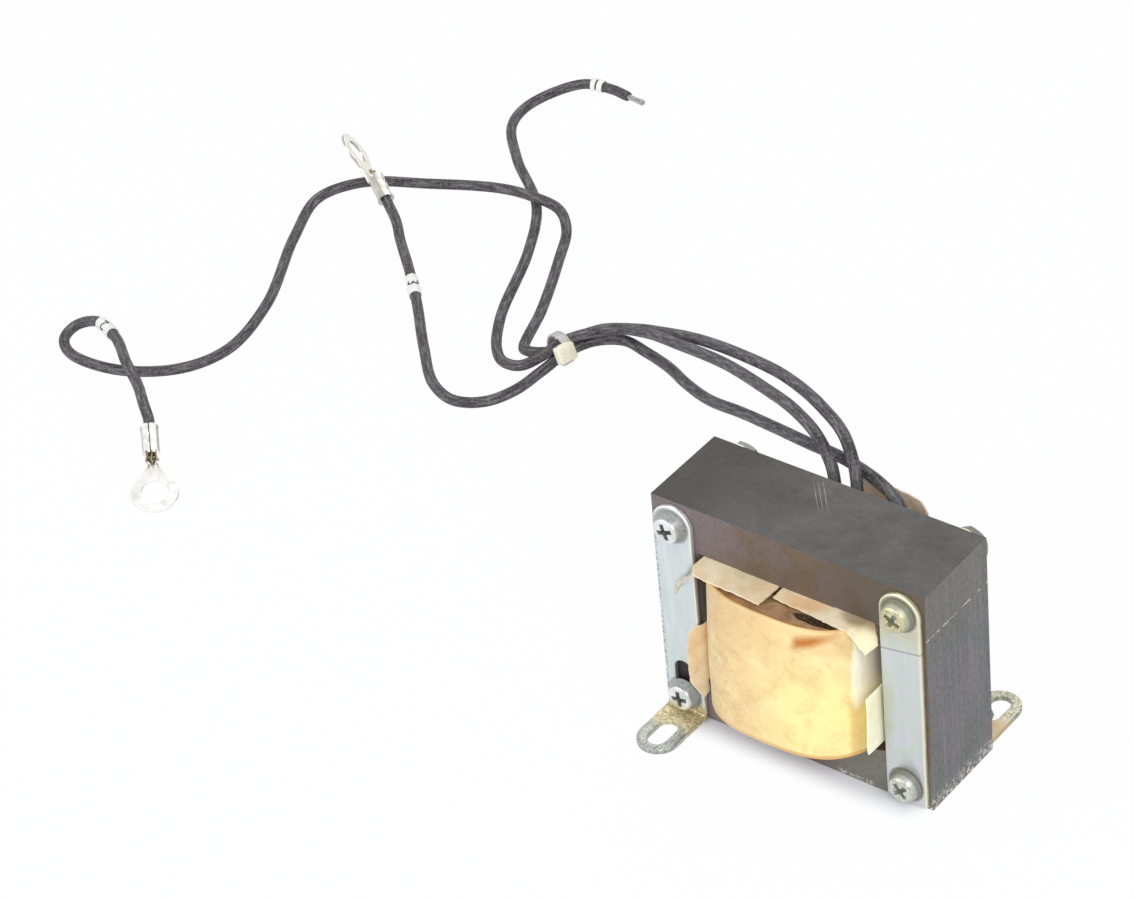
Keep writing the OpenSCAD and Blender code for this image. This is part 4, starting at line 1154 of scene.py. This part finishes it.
def collarEdge(inner, reach):  # from the front of the split round the slot and the back to the outer side
    f, s, back = collar["face"], collar["slotX"], collar["face"] + collar["back"]
    return [(inner, -f - reach), (inner, -f), (s, -f), (s, f), (inner, f), (inner, back),
            (collar["armX"], back), (collar["x"], f)]


def topCollars():
    f, mid = collar["face"], collar["z"] + papers["thick"] / 2
    outline = collarEdge(*collar["leftArm"]) + [(collar["x"] - collar["trim"], -f)] + collar["leftCorner"]
    left = paperBlank(outline, 1, still=f + 0.01)

    def leftLie(x, y, z):  # its front arm lifts a little towards the free edge
        free = max(0.0, -y - f)
        lift = 0.03 * free ** 1.4 + 0.25 * noise.noise(Vector((x * 0.18, y * 0.2, 2))) * min(1, free / 3)
        return Vector((-x, y, mid + z + max(0.0, lift)))

    paperPiece("topCollarLeft", reshaped(left, leftLie), collarPaper, "top_collar_left")
    start, end = Vector(collar["foldFrom"] + (0,)), Vector(collar["foldTo"] + (0,))
    along = (end - start).normalized()
    out = Vector((along.y, -along.x, 0))  # away from the coil, over the fold
    radius, most = collar["foldRadius"], math.radians(collar["foldLean"])
    corner = start + along * ((collar["x"] - start.x) / along.x)
    tab = [start + along * s + out * t for s, t in collar["tab"]]
    outline = collarEdge(*collar["rightArm"]) + [tuple(p)[:2] for p in [corner] + tab + [start]]
    right = paperBlank(outline, 2, grid=0.8, still=f + 0.01)
    scored(right, out, steps(0, radius * most, 0.11), start)
    bmesh.ops.triangulate(right, faces=right.faces[:])

    def rightLie(x, y, z):  # its corner folds down over the side of the coil
        place = Vector((x, y, 0)) - start
        over = place.dot(out)
        lift = 0.22 * noise.noise(Vector((x * 0.2, y * 0.2, 6))) * min(1, max(0.0, -y - f) / 2)
        if over <= 0:
            return Vector((x, y, mid + z + max(0.0, lift) * min(1, -over / 2)))
        turn = min(over / radius, most)
        rest, r = over - turn * radius, radius + z
        spot = start + along * place.dot(along) + out * (r * math.sin(turn) + rest * math.cos(turn))
        return Vector((spot.x, spot.y, mid - radius + r * math.cos(turn) - rest * math.sin(turn)))

    paperPiece("topCollarRight", reshaped(right, rightLie), collarPaper, "top_collar_right")
    # painted shade: the bottom collars take the dark tube paper, as they lie in shade under the coil
    for node in ("bottom_collar_left", "bottom_collar_right"):
        cadNodes[node].data.materials[0] = tubePaper


liner = {"x": 21.5, "low": 11.6, "high": 14.5, "lift": 2.3, "lean": 33, "leanOver": 1.6, "reach": 16.6,
         "flap": [(0.1, 0), (0.44, -0.5), (0.44, -3), (1.41, -5), (3.3, -2.1), (4.22, 0), (4.4, 3.6),
                  (4.4, 9), (3.96, 12.76), (2.1, 14.2)]}


def windowLiners():
    f, low, high = collar["face"], liner["low"], liner["high"]
    middle = liner["x"] + papers["thick"] / 2
    outline = [(-f, low)] + [(f + t, low + v) for t, v in liner["flap"]] + [(f, low + high), (-f, low + high)]
    left = paperBlank(outline, 3, grid=0.6)

    def leftLie(u, v, w):  # u runs to the front; the flap leans out past the strap
        if u <= f:
            return Vector((-middle - w, -u, v))
        over = u - f
        turn = math.radians(liner["lean"]) * min(1.0, over / liner["leanOver"])
        sway = 0.12 * noise.noise(Vector((u * 0.4, v * 0.3, 1))) * min(1.0, over / 2)
        return Vector((-middle - w * math.cos(turn) - over * math.sin(turn) - sway,
                       -f - over * math.cos(turn) + w * math.sin(turn), v))

    paperPiece("windowLinerLeft", reshaped(left, leftLie), flapPaper, "window_liner_left")
    up, reach = low + liner["lift"], liner["reach"]
    outline = [(-f, up), (reach, up), (reach + 0.2, up + 1), (reach + 0.1, up + high), (-f, up + high)]
    right = paperBlank(outline, 4, wobble=0.06)

    def rightLie(u, v, w):
        over = max(0.0, u - f)
        return Vector((middle + w + 0.004 * over ** 2 * math.sin(v * 0.32), -u, v))

    paperPiece("windowLinerRight", reshaped(right, rightLie), linerPaper, "window_liner_right")


shield = {"low": 27.45, "high": 48.4, "left": -6.8, "right": 13.2, "round": 4, "seat": (20.95, 22.85),
          "freeFrom": 42, "sway": 0.35}


def leadShield():
    s, r = shield, shield["round"]
    outline = [(s["left"], s["low"]), (s["right"], s["low"]), (s["right"], s["high"] - r)]
    outline += circle(s["right"] - r, s["high"] - r, r, 10, 0, 90) + [(s["left"], s["high"])]
    seatX, seatY = s["seat"]

    def lie(u, v, w):  # bent round the back of the coil
        y = seatY * (1 - abs(u / seatX) ** 3) ** (1 / 3)
        sway = s["sway"] * noise.noise(Vector((u * 0.15, v * 0.2, 4))) * max(0, (v - s["freeFrom"]) / 6)
        return Vector((u, y - w + max(-0.1, sway), v))

    paperPiece("leadShield", reshaped(paperBlank(outline, 5), lie), shieldPaper, "lead_shield")


shreds = {"strip": [((-19.3, -16.4, 43.4), 0.5), ((-20.6, -16.4, 41.9), 0.55), ((-23.57, -14.6, 39.02), 0.65),
                    ((-25.89, -13.4, 36.58), 0.65), ((-27.29, -12.8, 34.01), 0.45),
                    ((-28.08, -12.55, 31.93), 0.1)],
          "faces": (0.55, -0.6, 0.58), "thin": 0.06, "threadRadius": 0.13,
          "thread": [(-22.45, -12.5, 7.2), (-22.5, -12.55, 6.2), (-22.3, -12.7, 4.2), (-22.35, -12.7, 2.3)]}


def paperShreds():  # a torn strip from the left collar over the strap, a thread under the flap
    rings = []
    places = [Vector(p) for p, _ in shreds["strip"]]
    for (p, _, _, along), (_, half) in zip(frames(places), shreds["strip"]):
        wide = along.cross(Vector(shreds["faces"])).normalized()
        thin = wide.cross(along) * shreds["thin"]
        wide = wide * half
        rings.append([p + wide + thin, p + wide - thin, p - wide - thin, p - wide + thin])
    thread = [[(a, b, z) for a, b in circle(x, y, shreds["threadRadius"], 6)] for x, y, z in shreds["thread"]]
    paperPiece("paperShreds", joined(loft(rings), loft(thread)), scrapPaper)


topCollars()
windowLiners()
leadShield()
paperShreds()
print("papers laid")


# clamping straps and slotted foot brackets

straps = {"width": 9.5, "thick": 1.2, "bend": 0.4, "reach": 16.0, "slot": (4.4, 8.0), "slotY": 10.0,
          "rise": 6.3, "edge": 0.22, "hole": 4.5, "corner": 0.7}
half, thick = straps["width"] / 2, straps["thick"]


def strapPiece(name, bm, x, turned, node):  # set against the front, or turned round to the back
    place = Matrix.Rotation(math.pi if turned else 0, 4, "Z") @ Matrix.Translation((x, frontY - thick / 2, 0))
    makePiece(name, moved(bm, place), [zincSteel], "zinc_steel", node)


def plainStrap(name, turned, node):  # round at the top, cut square at the bottom
    corner = straps["corner"]
    low = holeLow - half + corner
    outline = circle(0, holeHigh, half, 40, 0, 180)
    for x, start in ((corner - half, 180), (half - corner, 270)):
        outline += circle(x, low, corner, 6, start, start + 90)
    holes = [circle(0, z, straps["hole"] / 2, 28) for z in (holeLow, holeHigh)]
    bm = cutSheet([outline] + holes, thick, straps["edge"], 2)
    strapPiece(name, moved(bm, Matrix.Rotation(math.pi / 2, 4, "X")), holeX, turned, node)


def footBracket(name, turned, node):
    s = straps
    middleR = s["bend"] + thick / 2
    bendTop = s["bend"] + thick  # height where the upright turns into the foot
    arc = middleR * math.pi / 2
    flatEnd = bendTop - arc  # unrolled height where the foot starts
    tip = flatEnd - (s["reach"] - bendTop) + half
    slotAt = flatEnd - (s["slotY"] - bendTop)
    slotW, slotL = s["slot"]
    slotHalf = (slotL - slotW) / 2
    loops = [circle(0, holeHigh, half, 40, 0, 180) + circle(0, tip, half, 40, 180, 360),
             circle(0, holeHigh, s["hole"] / 2, 28), slotLoop(0, holeLow, holeLow + s["rise"], s["hole"]),
             slotLoop(0, slotAt - slotHalf, slotAt + slotHalf, slotW)]
    bm = cutSheet(loops, thick, s["edge"], 2)
    scored(bm, (0, 1, 0), steps(flatEnd, bendTop, arc / 8))

    def bend(x, v, w):  # w is positive towards the front after the turn
        if v >= bendTop:
            return Vector((x, -w, v))
        if v <= flatEnd:
            return Vector((x, -middleR - (flatEnd - v), bendTop - middleR + w))
        turn = (bendTop - v) / middleR
        r = middleR - w
        return Vector((x, -middleR + r * math.cos(turn), bendTop - r * math.sin(turn)))

    strapPiece(name, reshaped(bm, bend), -holeX, turned, node)


plainStrap("frontRightStrap", False, "front_right_strap")
plainStrap("rearLeftStrap", True, "rear_left_strap")
footBracket("frontLeftBracket", False, "front_left_bracket")
footBracket("rearRightBracket", True, "rear_right_bracket")
print("straps and brackets bent")


# screws and nuts

fasteners = {"shank": 4.0, "headHigh": 2.6, "crown": (2.6, 0.2), "recess": (4.5, 1.2, 1.4), "taper": 0.7,
             "shoulder": [(2.8, 2.3), (2.95, 2.15), (3.1, 1.85), (3.45, 1.1), (3.7, 0.5), (3.8, 0.25),
                          (3.72, 0)],
             "thread": (3.85, 0.5, 0.7), "nut": 7.0, "nutHigh": 2.4, "chamfer": 0.94, "end": 0.6,
             "turns": (20, 62, 8, 40)}
seat = -frontY + thick  # height of the strap's face, from the core's middle
headTop = seat + fasteners["headHigh"]


def fastenerTree():  # one part at every clamp hole, turned by its own angle
    tree = NodeMaker("fastenerSet", {"Part": "Object", "Finish": "Material"})
    part = tree.node("GeometryNodeObjectInfo", sockets={"Object": tree.given["Part"]}, out="Geometry")
    turn = tree.node("GeometryNodeInputNamedAttribute", {"data_type": "FLOAT"}, {"Name": "turn"})
    return tree.close(tree.node("GeometryNodeInstanceOnPoints", sockets={
        "Points": tree.given["Geometry"], "Instance": part,
        "Rotation": tree.vector(X=math.pi / 2, Y=turn * -1.0)}))


def screwShape():  # turned round Z from (radius, height) points
    s, shank = fasteners, fasteners["shank"] / 2
    crownR, crownDrop = s["crown"]
    end = -seat - s["nutHigh"] - s["end"]
    first, last, pitch = s["thread"]
    profile = [(0.01, headTop)]
    profile += [(a, headTop - crownDrop * (a / crownR) ** 2) for a in steps(0.4, crownR, 0.2)]
    profile += [(r, seat + up) for r, up in s["shoulder"]] + [(shank, seat), (shank, end + 4)]
    for z in steps(end + first, end + last, -pitch):
        profile += [(shank, z), (shank - pitch / 2, z - pitch / 2)]
    profile += [(shank - 0.4, end), (0.01, end)]
    return loft([[polar(r, turn) + (z,) for turn in turns(44)] for r, z in profile])


def recessWing(turned):
    long, wide, deep = fasteners["recess"]
    spare = 1.2
    place = Matrix.Rotation(turned, 4, "Z") @ Matrix.Translation((0, 0, headTop - deep / 2 + spare / 2))
    wing = block(place @ Matrix.Diagonal((long, wide, deep + spare, 1)))
    for v in wing.verts:  # it tapers towards the bottom
        if v.co.z < headTop - deep + 0.2:
            v.co.xy = v.co.xy * fasteners["taper"]
    return wing


def nutShape():
    s, count = fasteners, 24
    across, high, bore = s["nut"] / 2, s["nutHigh"], s["shank"] / 2 + 0.1

    def ring(radius, z):
        return [polar(radius, turn) + (z,) for turn in turns(count)]

    def flats(z, drop):  # six sides, whose corners are chamfered
        out = []
        for turn in turns(count):
            r = across / math.cos((turn + math.pi / 6) % (math.pi / 3) - math.pi / 6)
            out.append(polar(r, turn) + (z + (r - across) * drop,))
        return out

    rim = across * s["chamfer"]
    rings = [ring(bore + 0.3, 0), ring(rim, 0), flats(0.08, 0.6), flats(high - 0.08, -0.6), ring(rim, high),
             ring(bore + 0.3, high), ring(bore, high - 0.3), ring(bore, 0.3)]
    return moved(loft(rings, closed=True), Matrix.Translation((0, 0, -seat - high)))


def clampPoints():
    mesh = bpy.data.meshes.new("clampPoints")
    mesh.from_pydata([(x * mm, 0, z * mm) for z in (holeHigh, holeLow) for x in (-holeX, holeX)], [], [])
    turn = mesh.attributes.new("turn", "FLOAT", "POINT")
    turn.data.foreach_set("value", [math.radians(a) for a in fasteners["turns"]])
    return mesh


def buildFasteners():
    tree = fastenerTree()
    screw = placed("screwBlank", asMesh("screwBlank", screwShape()))
    wings = [placed("recessWing", asMesh("recessWing", recessWing(turned))) for turned in (0, math.pi / 2)]
    for wing in wings:
        cut = screw.modifiers.new("recess", "BOOLEAN")
        cut.object, cut.operation, cut.solver = wing, "DIFFERENCE", "EXACT"
    shape = evaluated(screw)
    screw.modifiers.clear()
    screw.data = shape
    nut = placed("nutBlank", asMesh("nutBlank", nutShape()))
    kinds = (("clampScrews", screw, "clamp_screws", 35), ("clampNuts", nut, "clamp_nuts", 30))
    for name, part, node, smooth in kinds:
        mesh = tree.run(clampPoints(), {"Part": part, "Finish": fastenerSteel})
        makePiece(name, mesh, [fastenerSteel], "fastener_steel", node, smooth=smooth)
    for item in wings + [screw, nut]:
        bpy.data.objects.remove(item)


buildFasteners()
print("screws and nuts set")
